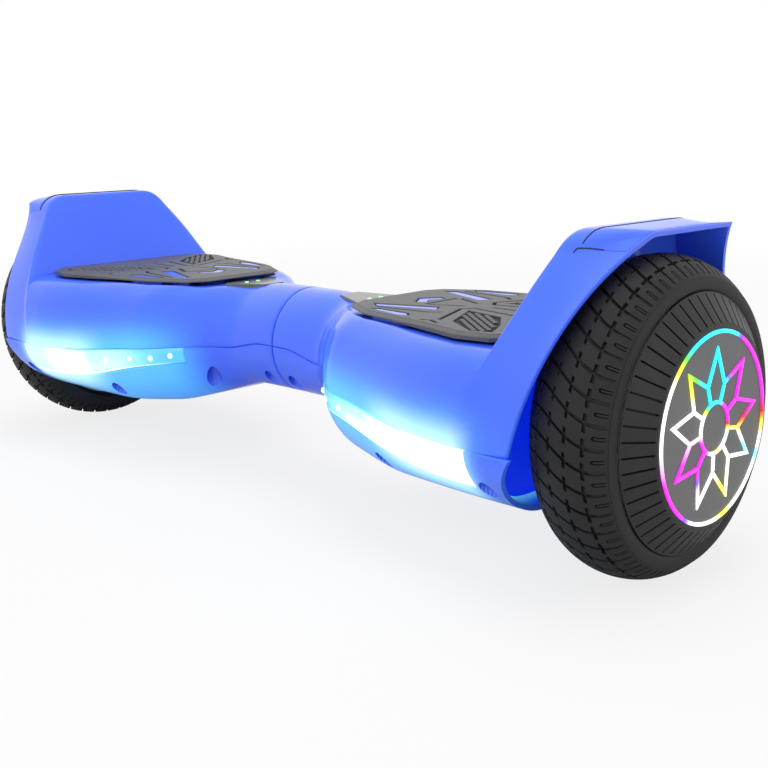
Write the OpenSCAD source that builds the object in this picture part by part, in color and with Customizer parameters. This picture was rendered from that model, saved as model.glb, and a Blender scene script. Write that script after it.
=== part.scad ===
// Self-balancing board: two mirrored halves joined by a twisting neck, each half on a hub-motor wheel.
// The axle runs along x, the front with the headlights faces -y, and the tyres stand on z = 0.

/* [Wheels] */
// Outer diameter of the tyre
tyre_d = 168; // [162:1:172]
// Thickness of the rubber outside the rim
tyre_t = 20; // [18:0.5:22]
// Width of the tyre
tyre_w = 53; // [48:1:54]
// Distance between the centre planes of the two wheels
track = 526; // [510:1:560]
// How far the ribbed hub cover reaches past the rim
cover_over = 2.75; // [2:0.25:4]
// Radial width of the ribbed cone between the tyre and the hub disc
cone_w = 14.75; // [12:0.25:18]
// Distance from the wheel's centre plane to the face of the hub disc
disc_out = 34; // [32:0.5:38]
// Number of radial grooves in the hub cover
cover_ribs = 52; // [24:1:60]
// Number of tread blocks around the tyre
tread_blocks = 46; // [30:1:50]
// Depth of the tread grooves
tread_depth = 2; // [1:0.1:3]

/* [Motor] */
// Diameter of the fixed axle
axle_d = 16; // [14:0.5:18]
// Radial thickness of the rim around the magnets
can_t = 10; // [8:0.5:12]
// Axial length of the stator
stator_l = 24; // [20:1:26]
// Number of stator teeth
stator_teeth = 18; // [12:3:24]
// Radial thickness of the magnet ring
magnet_t = 4; // [3:0.5:5]
// Gap between the stator and the magnets
air_gap = 0.8; // [0.6:0.1:1.2]
// Outer diameter of the wheel bearings
bearing_d = 35; // [32:1:38]
// Width of each wheel bearing
bearing_w = 9; // [7:1:10]

/* [Body] */
// Wall thickness of the shells
wall = 2.6; // [2:0.1:3]
// How far the body reaches past the tyre at the front and at the back
body_over = 11; // [10:0.5:16]
// Radius of the neck at the seam between the halves
neck_r = 35; // [33:0.5:37]
// Height of the neck's centre above the axle
neck_up = 8.5; // [6:0.5:10]
// Height of the deck above the axle
deck_up = 40.5; // [38:0.5:43]
// Depth of the line between top and bottom shell below the axle
split_down = 7; // [5:0.5:9]
// Depth of the belly below the axle
belly_down = 45; // [42:0.5:47]
// Half width of the flat part of the deck
deck_half = 72; // [70:0.5:74]
// Half width of the flat part of the belly
belly_half = 48; // [44:1:52]
// Gap between the two halves at the neck
seam_gap = 1; // [0.6:0.1:2]
// Width of the inner ledge that the shell screws go into
ledge_w = 18; // [16:0.5:20]
// Thickness of that ledge
ledge_t = 3; // [2:0.5:4]

/* [Fender] */
// Height of the fender above the tyre
fender_gap = 14.3; // [12:0.1:20]
// Distance from the wheel's centre plane to the foot of the fender wall
fender_in = 38.5; // [37:0.5:41]
// Lean of the fender wall away from the foot, per unit of height
fender_lean = 0.27; // [0.2:0.01:0.29]
// Width of the fender band at the height of the deck
band_w = 32; // [30:0.5:36]
// Thickness of the cap on the fender
cap_t = 1.2; // [0.8:0.1:2]

/* [Lights] */
// Distance from the seam to the inner end of the headlight
lens_x0 = 71; // [68:1:80]
// Distance from the wheel's centre plane to the outer end of the headlight
lens_out = 47; // [45:1:60]
// Thickness of the headlight lens
lens_t = 2.4; // [1.6:0.1:2.6]
// Width of the lit line around the hub disc
ring_w = 2; // [1.5:0.1:3]
// Height of the lit lines above the hub disc
light_h = 1.2; // [0.8:0.1:2]

/* [Pads] */
// Thickness of the foot pad
pad_t = 5; // [4:0.5:6]
// How far the foot pad travels under a foot
pad_travel = 1; // [0.6:0.1:1.2]
// Diameter of the pad's plungers
plunger_d = 10; // [8:0.5:12]
// Depth of the textured patches
patch_deep = 1.1; // [0.8:0.1:1.5]
// Width of the sloping edge around the pad
pad_chamfer = 3.2; // [2:0.1:4]

/* [Inside] */
// Outer diameter of the twist pivot tube
pivot_d = 24; // [22:1:26]
// Bore of the twist pivot tube
pivot_bore = 16; // [12:1:18]
// Outer radius of the pivot housing in each chassis
hub_r = 17.2; // [16.8:0.1:17.6]
// Thickness of the chassis webs
frame_t = 6; // [5:0.5:8]
// Thickness of the chassis base
base_t = 9; // [6:0.5:10]
// Half width of the chassis base
base_half = 50; // [40:1:52]
// Length of the battery pack
battery_l = 92; // [70:1:94]
// Height of the battery pack
battery_h = 48; // [36:1:50]
// Length of the main board
main_l = 80; // [60:1:80]
// Thickness of the circuit boards
board_t = 1.6; // [1:0.1:2]

/* [Rear controls] */
// Diameter of the power button
button_d = 14; // [12:0.5:16]
// Travel of the power button
button_travel = 2; // [1:0.1:2.5]
// Bore of the charge socket
socket_bore = 12; // [11:0.5:13]
// Outer diameter of the charge socket
socket_d = 20; // [19:0.5:22]
// Diameter of the pin that the charge flap turns on
flap_pin_d = 1.8; // [1.5:0.1:2.2]

/* [Fits] */
// Radial clearance of shafts and bearings
run_fit = 0.05; // [0.02:0.01:0.08]
// Clearance between seated pieces of one half
seat_fit = 0.2; // [0.1:0.05:0.3]
// Clearance between pieces that move past each other
move_gap = 0.4; // [0.3:0.05:0.6]
// Diameter of the shell screws
screw_d = 3; // [2.5:0.5:4]

/* [Hidden] */
$fn = 64;

shell_blue = "#3c68ff";
rubber_black = "#1c1c1e";
cover_grey = "#2b2b2d";
metal_grey = "#a9acb0";
board_green = "#1f6b3a";

// heights
axle_z = tyre_d / 2;
neck_z = axle_z + neck_up;
deck_z = axle_z + deck_up;
split_z = axle_z - split_down;
belly_z = axle_z - belly_down;
fender_z = tyre_d + fender_gap;
fender_h = fender_z - axle_z;
body_half = tyre_d / 2 + body_over;

// stations along x
wheel_x = track / 2;
wall_x = wheel_x - fender_in;
body_end = wall_x - 10;
flare_x0 = 40;
flare_x1 = 100;
swell_x0 = 70;
lens_x1 = wheel_x - lens_out;
deck_x0 = 20;
deck_x1 = 76;
shell_x0 = seam_gap / 2;
end_station = wall_x - 26.5;
neck_stations = [15, 30, 40, 50, 60];
stations = concat([0], neck_stations, [for (k = [0:7]) lens_x0 + (end_station - lens_x0) * k / 7]);

// inside layout
block_x1 = wheel_x - 47;
block_l = 22;
bulkhead_x0 = 69;
web_y = 28;
base_x0 = 112;
base_z = belly_z + wall + 3;
base_top = base_z + base_t;
web_top = axle_z + 20;
board_z = web_top + board_t;
switch_x0 = 96;
hub_x0 = 2;

// wheel layout, measured outwards from the wheel's centre plane
rim_half = 20;
rim_d = tyre_d - 2 * tyre_t;
cover_d = rim_d + 2 * cover_over;
disc_d = cover_d - 2 * cone_w;
rim_in_r = rim_d / 2 - can_t;
stator_d = 2 * (rim_in_r - seat_fit - magnet_t - air_gap);
side_t = 5;
bearing_in = -rim_half - side_t + 1;
bearing_out = rim_half + side_t - 1 - bearing_w;
cover_edge = 23.4;
axle_in = block_x1 - block_l - 4 - wheel_x;
axle_out = bearing_out + bearing_w + 1;

// pad layout, with places along the pad given as a share of its length
pad_gap = pad_travel + move_gap;
pad_z = deck_z + pad_gap;
pad_x0 = 75;
pad_x1 = wall_x - 5;
function on_pad(u, y) = [pad_x0 + u * (pad_x1 - pad_x0), y];
plunger_at = [on_pad(0.32, 37), on_pad(0.8, 48)];

// rear controls
socket_x = 138;
button_x = 104;
control_z = axle_z + 17;
socket_face = body_half - 6.5;
button_face = body_half - 15.5;
boss_l = 13.5;
flap_t = 2.4;
flap_r = socket_d / 2 + 1;
flange_d = socket_d + 12;
flange_t = 1.2;
pin_up = flap_r + 2.4;
barrel_r = 2.2;

// shell screws, each at a distance from the seam and inside the shell's side
screw_x = [12, 61.5, 134, wheel_x - 40];
screw_in = [10.6, 10.3, 15.3, 12];
screw_at = [for (i = [0:3]) [screw_x[i], wide(screw_x[i], 0) - screw_in[i]]];
screw_head_d = 2 * screw_d;
well_d = screw_head_d + 4.8;
column_d = well_d + 2.8;
seat_down = 10;

split_gap = 0.2;

// smooth step from 0 at a to 1 at b
function smooth(x, a, b) = let (t = min(max((x - a) / (b - a), 0), 1)) t * t * (3 - 2 * t);

// point at t on a cubic curve
function bez(p, t) =
    pow(1 - t, 3) * p[0] + 3 * t * pow(1 - t, 2) * p[1] + 3 * t * t * (1 - t) * p[2] + pow(t, 3) * p[3];

function flat(lists) = [for (list = lists) for (item = list) item];
function reversed(list) = [for (i = [len(list) - 1:-1:0]) list[i]];

// the body's section at a station: neck values that grow into body values, drawn in by an inset
function flare(x) = smooth(x, flare_x0, flare_x1);
function wide(x, inset) =
    neck_r + (body_half - neck_r) * (0.62 * flare(x) + 0.38 * smooth(x, swell_x0, body_end)) - inset;
function deck_wide(x) = 0.8 + deck_half * (0.72 * flare(x - 2) + 0.28 * smooth(x, 90, body_end - 15));
function top_z(x, inset) =
    neck_z + neck_r + (deck_z - neck_z - neck_r) * smooth(x, deck_x0, deck_x1) - inset;
function sink(x) = 0.65 * smooth(x, 35, 95) + 0.35 * smooth(x, 60, 145);
function low_z(x, inset) = neck_z - neck_r + (belly_z - neck_z + neck_r) * sink(x) + inset;
function seam_z(x) =
    neck_z + (split_z - neck_z) * (0.42 * smooth(x, 10, 50) + 0.58 * smooth(x, 60, body_end - 24.5));
function low_wide(x) = 0.8 + belly_half * sink(x);

// front quarter curves as [half width, height]
function upper_curve(x, inset) =
    let (w = wide(x, inset), d = min(deck_wide(x), w - 8), z = top_z(x, inset), s = seam_z(x), f = flare(x))
    [[d, z], [d + (0.55 + 0.1 * f) * (w - d), z], [w, s + (0.55 + 0.12 * f) * (z - s)], [w, s]];
function lower_curve(x, inset) =
    let (w = wide(x, inset), d = low_wide(x), z = low_z(x, inset))
    let (s = seam_z(x) - split_gap, k = 0.55 - 0.1 * flare(x))
    [[w, s], [w, s - k * (s - z)], [d + k * (w - d), z], [d, z]];

// curve parameters of the upper quarter, close together over the rounded deck edge
upper_t = [for (i = [0:8]) i / 16, 4 / 6, 5 / 6, 1];
function upper_quarter(x, inset) = [for (t = upper_t) bez(upper_curve(x, inset), t)];

// fender outlines on its inner and outer leaning planes, as [half width, height]
fender_corner = 36;
fender_shoulder = 53.5;
shoulder_drop = 9.3;
band_drop = 2.3;
tip_y = 62;
function inner_corner(i) =
    [[fender_corner, fender_z - i], [fender_corner + 9, fender_z - i],
     [fender_shoulder - 4 - i / 2, fender_z - 3 - i], [fender_shoulder - i, fender_z - shoulder_drop - i / 2]];
function inner_flank(i) =
    [inner_corner(i)[3], [body_half - 24.5 - i, axle_z + 0.59 * fender_h],
     [body_half - 4 - i, axle_z + 0.346 * fender_h], [body_half - i, split_z]];
function front_corner(i) =
    [[8, fender_z - band_drop - i], [10, fender_z - band_drop - i],
     [12, fender_z - band_drop - i], [14, fender_z - band_drop - 0.4 - i]];
function front_flank(i) =
    [front_corner(i)[3], [body_half - 33 - i, axle_z + 0.783 * fender_h - i],
     [body_half - 4 - i, axle_z + 0.56 * fender_h], [body_half - 2 - i, split_z]];
function rear_corner(i) =
    [[20, fender_z - band_drop - i], [35, fender_z - band_drop - i],
     [50, fender_z - band_drop - i], [tip_y - i, fender_z - band_drop - i]];
function rear_flank(i) =
    [rear_corner(i)[3], [body_half - 37 - i, axle_z + 0.671 * fender_h],
     [body_half - 2 - i, axle_z + 0.417 * fender_h], [body_half - 2 - i, split_z]];
function outline(corner, flank) =
    [for (i = [0:3]) bez(corner, i / 3), for (i = [1:8]) bez(flank, i / 8)];

// the leaning planes of the fender wall and of its outer edge
function wall_plane(z) = wall_x + fender_lean * (z - deck_z);
function edge_plane(z) = wall_x + band_w + 0.22 * (z - deck_z);

// a ring of points from a front and a rear quarter, on the surface x = plane(z)
function ring_at(x, front, rear) = concat(
    [for (p = reversed(front)) [x, -p[0], p[1]]],
    [for (p = rear) [x, p[0], p[1]]]);
function ring_on_wall(shift, q) = concat(
    [for (p = reversed(q)) [wall_plane(p[1]) + shift, -p[0], p[1]]],
    [for (p = q) [wall_plane(p[1]) + shift, p[0], p[1]]]);
function edge_ring(i) = concat(
    [for (p = reversed(outline(front_corner(i), front_flank(i)))) [edge_plane(p[1]), -p[0], p[1]]],
    [for (p = outline(rear_corner(i), rear_flank(i))) [edge_plane(p[1]), p[0], p[1]]]);

// the inner side of the top shell carries a ledge along the split line
function ledge(x) = wall + 1 + (ledge_w - wall - 1) * smooth(x, flare_x0, 75);
function band_ledge(u) = u < 0.5 ? ledge_w - wall : 0.8;
function with_ledge(ring, reach) =
    let (n = len(ring), a = ring[0], b = ring[n - 1])
    concat([[a[0], a[1] + reach, a[2]], [a[0], a[1] + reach, a[2] + ledge_t], [a[0], a[1], a[2] + ledge_t]],
        [for (i = [1:n - 2]) ring[i]],
        [[b[0], b[1], b[2] + ledge_t], [b[0], b[1] - reach, b[2] + ledge_t], [b[0], b[1] - reach, b[2]]]);

// the outer side has as many points as the inner one
function with_steps(ring) =
    let (n = len(ring), a = ring[0], b = ring[n - 1], c = ring[1] - a, d = ring[n - 2] - b)
    concat([a, a + c / 4, a + c / 2], [for (i = [1:n - 2]) ring[i]], [b + d / 2, b + d / 4, b]);

// rings across the fender band, which arches from its inner to its outer edge
band_u = [0, 0.25, 0.5, 0.75, 1];
function band_ring(u, i) =
    let (a = ring_on_wall(i, outline(inner_corner(i), inner_flank(i))), b = edge_ring(i), v = u * u)
    [for (j = [0:len(a) - 1]) let (d = b[j] - a[j]) a[j] + [u * d[0], v * d[1], v * d[2]]];

top_outer = [for (ring = concat(
    [for (x = stations) let (q = upper_quarter(x, 0)) ring_at(x + (x == 0 ? shell_x0 : 0), q, q)],
    [ring_on_wall(-3, upper_quarter(end_station + 23, 0))],
    [for (u = band_u) band_ring(u, 0)])) with_steps(ring)];
top_inner = concat(
    [for (x = stations) let (q = upper_quarter(x, wall))
        with_ledge(ring_at(x + (x == 0 ? shell_x0 : 0), q, q), ledge(x) - wall)],
    [with_ledge(ring_on_wall(wall - 1, upper_quarter(end_station + 23, wall)), band_ledge(0))],
    [for (u = band_u) with_ledge(band_ring(u, wall), band_ledge(u))]);

// a closed skin between an outer and an inner set of rings with the same number of points
module thick_skin(outer, inner) {
    rings = len(outer);
    n = len(outer[0]);
    first = rings * n;
    last = rings - 1;
    function o(i, j) = i * n + j;
    function k(i, j) = first + i * n + j;
    polyhedron(
        points = concat(flat(outer), flat(inner)),
        faces = concat(
            flat([for (i = [0:rings - 2]) for (j = [0:n - 2])
                [[o(i, j), o(i, j + 1), o(i + 1, j)], [o(i, j + 1), o(i + 1, j + 1), o(i + 1, j)]]]),
            flat([for (i = [0:rings - 2]) for (j = [0:n - 2])
                [[k(i, j), k(i + 1, j), k(i, j + 1)], [k(i, j + 1), k(i + 1, j), k(i + 1, j + 1)]]]),
            flat([for (i = [0:rings - 2])
                [[o(i, 0), o(i + 1, 0), k(i, 0)], [o(i + 1, 0), k(i + 1, 0), k(i, 0)],
                 [o(i, n - 1), k(i, n - 1), o(i + 1, n - 1)],
                 [o(i + 1, n - 1), k(i, n - 1), k(i + 1, n - 1)]]]),
            flat([for (j = [0:n - 2])
                [[o(0, j), k(0, j), o(0, j + 1)], [k(0, j), k(0, j + 1), o(0, j + 1)],
                 [o(last, j), o(last, j + 1), k(last, j)],
                 [k(last, j), o(last, j + 1), k(last, j + 1)]]])));
}

// draws the right half's piece, or its mirror image for the left half
module on_side(side) mirror([side < 0 ? 1 : 0, 0, 0]) children();

// draws the right half's piece, or the same moulding turned half round for the left half
module half_turn(side) rotate(side < 0 ? 180 : 0) children();

// a cylinder along x
module rod(d, x0, x1) translate([x0, 0, 0]) rotate([0, 90, 0]) cylinder(d = d, h = x1 - x0);

// turns a profile of [distance outwards, radius] about the wheel's axle
module turned(profile) translate([wheel_x, 0, axle_z]) rotate([0, 90, 0]) rotate_extrude($fn = 96)
    polygon([for (p = profile) [p[1], p[0]]]);

// plan outline of the indicator panel
panel_x0 = 37;
panel_x1 = 72;
panel_half = 20;
module panel_plan(grow) offset(delta = grow) polygon([
    [panel_x0, -8], [panel_x1 - 6, -panel_half], [panel_x1, -panel_half + 5],
    [panel_x1, panel_half - 5], [panel_x1 - 6, panel_half], [panel_x0, 8]]);

panel_tilt = 2.2;
module on_panel() translate([panel_x0, 0, top_z(panel_x0, 0)]) rotate([0, panel_tilt, 0])
    translate([-panel_x0, 0, 0]) children();

// a piece along the rear of the right half, from y0 to y1
module rear_rod(d, x, y0, y1) translate([x, y1, control_z]) rotate([90, 0, 0]) cylinder(d = d, h = y1 - y0);

module plunger_places() for (p = plunger_at) for (s = [-1, 1]) translate([p[0], s * p[1], 0]) children();

module screw_places() for (p = screw_at) for (s = [-1, 1]) translate([p[0], s * p[1], seam_z(p[0])]) children();

module top_skin(controls) color(shell_blue) difference() {
    thick_skin(top_outer, top_inner);
    plunger_places() translate([0, 0, deck_z - wall - 1]) cylinder(d = plunger_d + 2 * move_gap, h = wall + 2);
    on_panel() translate([0, 0, -8]) linear_extrude(12) panel_plan(seat_fit);
    for (p = screw_at) if (p[0] > flare_x0) for (s = [-1, 1])
        translate([p[0], s * p[1], seam_z(p[0]) - 1]) cylinder(d = screw_d + 2 * seat_fit, h = ledge_t + 2);
    if (controls) {
        rear_rod(flange_d + 2 * seat_fit, socket_x, body_half - 40, body_half + 4);
        rear_rod(button_d + 6 + 2 * seat_fit, button_x, body_half - 50, body_half);
    }
}

// collars in the rear wall that the charge socket and the power button sit in
module rear_collars() color(shell_blue) difference() {
    union() {
        rear_rod(flange_d, socket_x, body_half - 22, socket_face - flange_t - seat_fit);
        rear_rod(button_d + 6, button_x, button_face - boss_l, button_face);
    }
    rear_rod(socket_d + 2 * seat_fit, socket_x, body_half - 24, socket_face + 1);
    rear_rod(button_d + 2 * move_gap, button_x, button_face - boss_l - 1, button_face + 1);
}

// how far down the front curve the headlight reaches at a station
function lens_drop(x) = 0.2 + 0.21 * smooth(x, lens_x0, lens_x1 - 20);
lens_fit = 0.012;
function lower_quarter(x, inset, t0) = [for (i = [0:8]) bez(lower_curve(x, inset), t0 + (1 - t0) * i / 8)];
function end_shift(z) = 14 * pow(max(z - belly_z - 6, 0) / (split_z - belly_z - 6), 1.5);
function bottom_ring(x, inset, t0, reach) = concat(
    [for (p = lower_quarter(x, inset, t0)) [x + reach * end_shift(p[1]), -p[0], p[1]]],
    [for (p = reversed(lower_quarter(x, inset, 0))) [x + reach * end_shift(p[1]), p[0], p[1]]]);
step = 0.3;
lens_rows = [for (k = [1:7]) lens_x0 + (lens_x1 - lens_x0) * k / 8];
lower_stations = concat(
    [for (x = concat([shell_x0], neck_stations)) [x, 0, 0]],
    [[lens_x0 - step, 0, 0]],
    [for (x = concat([lens_x0], lens_rows, [lens_x1])) [x, lens_drop(x) + lens_fit, 0]],
    [[lens_x1 + step, 0, 0], [wall_x + 6, 0, 1]]);

module bottom_skin() color(shell_blue) difference() {
    union() {
        thick_skin(
            [for (s = lower_stations) reversed(bottom_ring(s[0], 0, s[1], s[2]))],
            [for (s = lower_stations) reversed(bottom_ring(s[0], wall, s[1], s[2]))]);
        intersection() {
            screw_places() translate([0, 0, -60]) cylinder(d = column_d, h = 60);
            belly_room();
        }
    }
    screw_places() {
        translate([0, 0, -70]) cylinder(d = well_d, h = 70 - seat_down);
        translate([0, 0, -seat_down - 1]) cylinder(d = screw_d + 2 * seat_fit, h = seat_down + 2);
    }
}

// the closed space below the split line, inside half the shell's wall
module belly_room() {
    rows = [for (s = lower_stations) reversed(bottom_ring(s[0], wall / 2, 0, 0))];
    n = len(rows[0]);
    polyhedron(
        points = flat(rows),
        faces = concat(
            flat([for (i = [0:len(rows) - 2]) for (j = [0:n - 1]) let (k = (j + 1) % n)
                [[i * n + j, i * n + k, (i + 1) * n + j], [i * n + k, (i + 1) * n + k, (i + 1) * n + j]]]),
            [[for (j = [n - 1:-1:0]) j]],
            [[for (j = [0:n - 1]) (len(rows) - 1) * n + j]]));
}

// a piece of the headlight's surface between two insets
lens_stations = concat([lens_x0 + step], lens_rows, [lens_x1 - step]);
function lens_ring(x, inset, t0, t1) =
    [for (i = [5:-1:0]) let (p = bez(lower_curve(x, inset), t0 + (t1 - t0) * i / 5)) [x, -p[0], p[1]]];
module lens_patch(inset0, inset1, margin) thick_skin(
    [for (x = lens_stations) lens_ring(x, inset0, margin, lens_drop(x) - margin)],
    [for (x = lens_stations) lens_ring(x, inset1, margin, lens_drop(x) - margin)]);

module headlight_lens() color("#c8f4ff") lens_patch(0, lens_t, 0.004);

module lamp_strip() color("#e8f8ff") lens_patch(lens_t + move_gap, lens_t + move_gap + board_t, 0.05);

// the cap lies on the fender band from the front corner to the rear tip
cap_from = 8;
cap_to = 15;
function band_normal(ring, j) =
    let (d = ring[min(j + 1, cap_to)] - ring[j - 1]) [0, -d[2], d[1]] / norm([d[1], d[2]]);
function cap_ring(u, lift) =
    let (ring = band_ring(u, 0)) [for (j = [cap_from:cap_to]) ring[j] + lift * band_normal(ring, j)];
cap_u = [for (u = band_u) if (u > 0) u];
module fender_cap() color(shell_blue) thick_skin(
    [for (u = cap_u) cap_ring(u, cap_t + 0.1)],
    [for (u = cap_u) cap_ring(u, 0.1)]);

module indicator_panel() color("#4a4d4a") on_panel() translate([0, 0, -3]) linear_extrude(3.2) panel_plan(0);

// cast frame: pivot housing, bulkhead, two webs, base and axle block
module chassis() color(metal_grey) difference() {
    union() {
        translate([0, 0, neck_z]) rod(2 * hub_r, hub_x0, bulkhead_x0 + 2);
        translate([bulkhead_x0, -web_y - frame_t, neck_z - 24]) cube([frame_t, 2 * (web_y + frame_t), 44]);
        for (s = [-1, 1]) translate([0, s * (web_y + frame_t / 2) + frame_t / 2, 0]) rotate([90, 0, 0])
            linear_extrude(frame_t) polygon([
                [bulkhead_x0, neck_z - 22], [bulkhead_x0, web_top], [block_x1, web_top],
                [block_x1, base_z], [base_x0, base_z]]);
        translate([0, 0, base_z]) linear_extrude(base_t) polygon([
            [base_x0, -web_y - frame_t], [base_x0 + 16, -base_half], [block_x1, -base_half],
            [block_x1, base_half], [base_x0 + 16, base_half], [base_x0, web_y + frame_t]]);
        translate([block_x1 - block_l, -web_y, base_z]) cube([block_l, 2 * web_y, axle_z - base_z]);
    }
    translate([0, 0, neck_z]) rod(pivot_d + 2 * bush_t + 2 * seat_fit, hub_x0 - 1, bulkhead_x0 + frame_t + 1);
    translate([0, 0, axle_z]) rod(axle_d + 2 * seat_fit, block_x1 - block_l - 5, block_x1 + 1);
    for (s = [-1, 1]) translate([block_x1 - block_l / 2, s * clamp_screw_y, axle_z - 20])
        cylinder(d = 5, h = 21);
}
bush_t = 2;
clamp_screw_y = 20;

// saddle cap that holds the axle down on the chassis block
module axle_clamp() color("#7d8085") difference() {
    translate([block_x1 - block_l, -web_y + 2, axle_z + seat_fit])
        cube([block_l, 2 * web_y - 4, axle_d / 2 + 6]);
    translate([0, 0, axle_z]) rod(axle_d + 2 * seat_fit, block_x1 - block_l - 1, block_x1 + 1);
    for (s = [-1, 1]) translate([block_x1 - block_l / 2, s * clamp_screw_y, axle_z - 1])
        cylinder(d = 5.4, h = axle_d + 10);
}

// splash wall between the body and the wheel
liner_t = 2.4;
liner_gap = 2.2;
module arch_liner() color("#2c50d8") translate([block_x1, 0, 0]) rotate([90, 0, 90]) linear_extrude(liner_t)
    difference() {
        polygon(concat(
            [for (p = reversed(upper_quarter(block_x1, wall + liner_gap))) [-p[0], p[1]]],
            upper_quarter(block_x1, wall + liner_gap),
            lower_quarter(block_x1, wall + liner_gap, 0.02),
            [for (p = reversed(lower_quarter(block_x1, wall + liner_gap, 0.02))) [-p[0], p[1]]]));
        translate([0, axle_z]) circle(d = axle_d + 2 * seat_fit);
        for (p = screw_at) if (p[0] > block_x1 - column_d) for (s = [-1, 1])
            translate([s * (p[1] + 6), split_z - 14]) square([column_d + 14, 42], center = true);
    }

// fixed axle with two flats where the clamp grips it
module axle() color("#c5c8cc") translate([wheel_x, 0, axle_z]) rod(axle_d, axle_in, axle_out);

module stator() color("#b87333") translate([wheel_x - stator_l / 2, 0, axle_z]) rotate([0, 90, 0])
    difference() {
        union() {
            cylinder(d = 0.62 * stator_d, h = stator_l);
            for (i = [0:stator_teeth - 1]) rotate(i * 360 / stator_teeth) {
                translate([0.2 * stator_d, -2.2, 3]) cube([0.3 * stator_d - 0.2, 4.4, stator_l - 6]);
                translate([0.35 * stator_d, -4, 1]) cube([0.09 * stator_d, 8, stator_l - 2]);
            }
        }
        translate([0, 0, -1]) cylinder(d = axle_d + 2 * run_fit, h = stator_l + 2);
    }

// tyre section: round crown, flat outer sidewall ring and a bead on the rim
tyre_half = tyre_w / 2;
bead_r = rim_d / 2 + run_fit;
crown = tyre_d / 2 - bead_r;
ring_r = cover_d / 2 + 8.6;
function crown_point(a) = [tyre_half * cos(a), bead_r + crown * pow(sin(a), 1.05)];
groove_w = 1.4;
tread_flat = 5;
module groove_plan() polygon(concat(
    [for (a = [150:-20:30]) crown_point(a) - tread_depth * [cos(a), sin(a)]],
    [for (a = [30:40:150]) crown_point(a) + 4 * [cos(a), sin(a)]]));
module tyre() color(rubber_black) difference() {
    turned(concat(
        [[-rim_half, bead_r], [-tyre_half + 2, bead_r + 2]],
        [for (a = [170:-10:110]) crown_point(a)],
        [[-tread_flat, tyre_d / 2], [tread_flat, tyre_d / 2]],
        [for (a = [70:-10:40]) crown_point(a)],
        [[tyre_half * 0.835, ring_r], [cover_edge - 0.6, cover_d / 2 + seat_fit], [rim_half, bead_r]]));
    translate([wheel_x, 0, axle_z]) for (i = [0:tread_blocks - 1]) rotate([i * 360 / tread_blocks, 0, 0])
        rotate([0, 0, tread_slant]) translate([0, groove_w / 2, 0]) rotate([90, 0, 0])
        linear_extrude(groove_w) groove_plan();
}
tread_slant = 12;

module rim() color(metal_grey) turned([
    [-rim_half, rim_in_r], [-rim_half, rim_d / 2], [rim_half, rim_d / 2], [rim_half, rim_in_r]]);

module magnets() color("#55585c") translate([wheel_x, 0, axle_z]) difference() {
    rod(2 * (rim_in_r - seat_fit), -stator_l / 2 - 1, stator_l / 2 + 1);
    rod(stator_d + 2 * air_gap, -stator_l / 2 - 2, stator_l / 2 + 2);
}

// end covers of the motor, each with a pocket for its bearing
module inner_cover() color(metal_grey) turned([
    [-rim_half - side_t, bearing_d / 2 + run_fit], [-rim_half - side_t, rim_d / 2 - 2],
    [-rim_half, rim_d / 2 - 2], [-rim_half, bearing_d / 2 + 4],
    [bearing_in + bearing_w, bearing_d / 2 + 4], [bearing_in + bearing_w, bearing_d / 2 + run_fit]]);
module outer_cover() color(metal_grey) turned([
    [bearing_out, bearing_d / 2 + run_fit], [bearing_out, bearing_d / 2 + 4], [rim_half, bearing_d / 2 + 4],
    [rim_half, rim_d / 2 - 2], [rim_half + side_t - 2, rim_d / 2 - 2],
    [rim_half + side_t, bearing_d / 2 + 6], [rim_half + side_t, bearing_d / 2 + run_fit]]);
module bearings() color("#d0d2d5") translate([wheel_x, 0, axle_z]) for (x = [bearing_in, bearing_out])
    difference() {
        rod(bearing_d, x, x + bearing_w);
        rod(axle_d + 2 * run_fit, x - 1, x + bearing_w + 1);
    }

// ribbed cone between the tyre and the hub disc
cone_t = 2.4;
module hub_cover() color(cover_grey) difference() {
    turned([
        [cover_edge + 0.1, rim_d / 2 - 6], [cover_edge, rim_d / 2 - 2], [cover_edge, cover_d / 2],
        [disc_out - 1, disc_d / 2 + 1], [disc_out, disc_d / 2], [disc_out, disc_d / 2 - 3],
        [disc_out - cone_t, disc_d / 2 - 3], [cover_edge + 1.6, rim_d / 2 - 8]]);
    for (i = [0:cover_ribs - 1]) translate([wheel_x, 0, axle_z]) rotate([i * 360 / cover_ribs, 0, 0])
        translate([cover_edge, -0.4, cover_d / 2]) rotate([0, cone_angle, 0])
        translate([-0.6, 0, -cone_run + 1.5]) cube([2, 0.8, cone_run - 2.5]);
}
cone_run = norm([disc_out - cover_edge, cover_d / 2 - disc_d / 2]);
cone_angle = -atan((disc_out - cover_edge) / (cover_d / 2 - disc_d / 2));

module hub_disc() color("#5f5f5f") turned([
    [rim_half + side_t, 0], [rim_half + side_t, 12], [disc_out - 2.4, 12],
    [disc_out - 2.4, disc_d / 2 - 3 - seat_fit], [disc_out, disc_d / 2 - 3 - seat_fit], [disc_out, 0]]);

// lit lines on the hub disc: a ring round a zigzag star and a small inner ring
star_points = 9;
light_r = disc_d / 2 - 4;
star_out = light_r - 10;
star_in = light_r - 26;
core_r = light_r - 35;
module star_plan(grow) polygon([for (i = [0:2 * star_points - 1])
    let (r = (i % 2 == 0 ? star_out : star_in) + grow, a = i * 180 / star_points) [r * cos(a), r * sin(a)]]);
module hub_light() color("#7af0ff") translate([wheel_x + disc_out, 0, axle_z]) rotate([90, 0, 90])
    linear_extrude(light_h) {
        difference() {
            circle(r = light_r);
            circle(r = light_r - ring_w);
        }
        difference() {
            star_plan(ring_w);
            star_plan(0);
        }
        difference() {
            circle(r = core_r);
            circle(r = core_r - ring_w);
        }
    }

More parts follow.
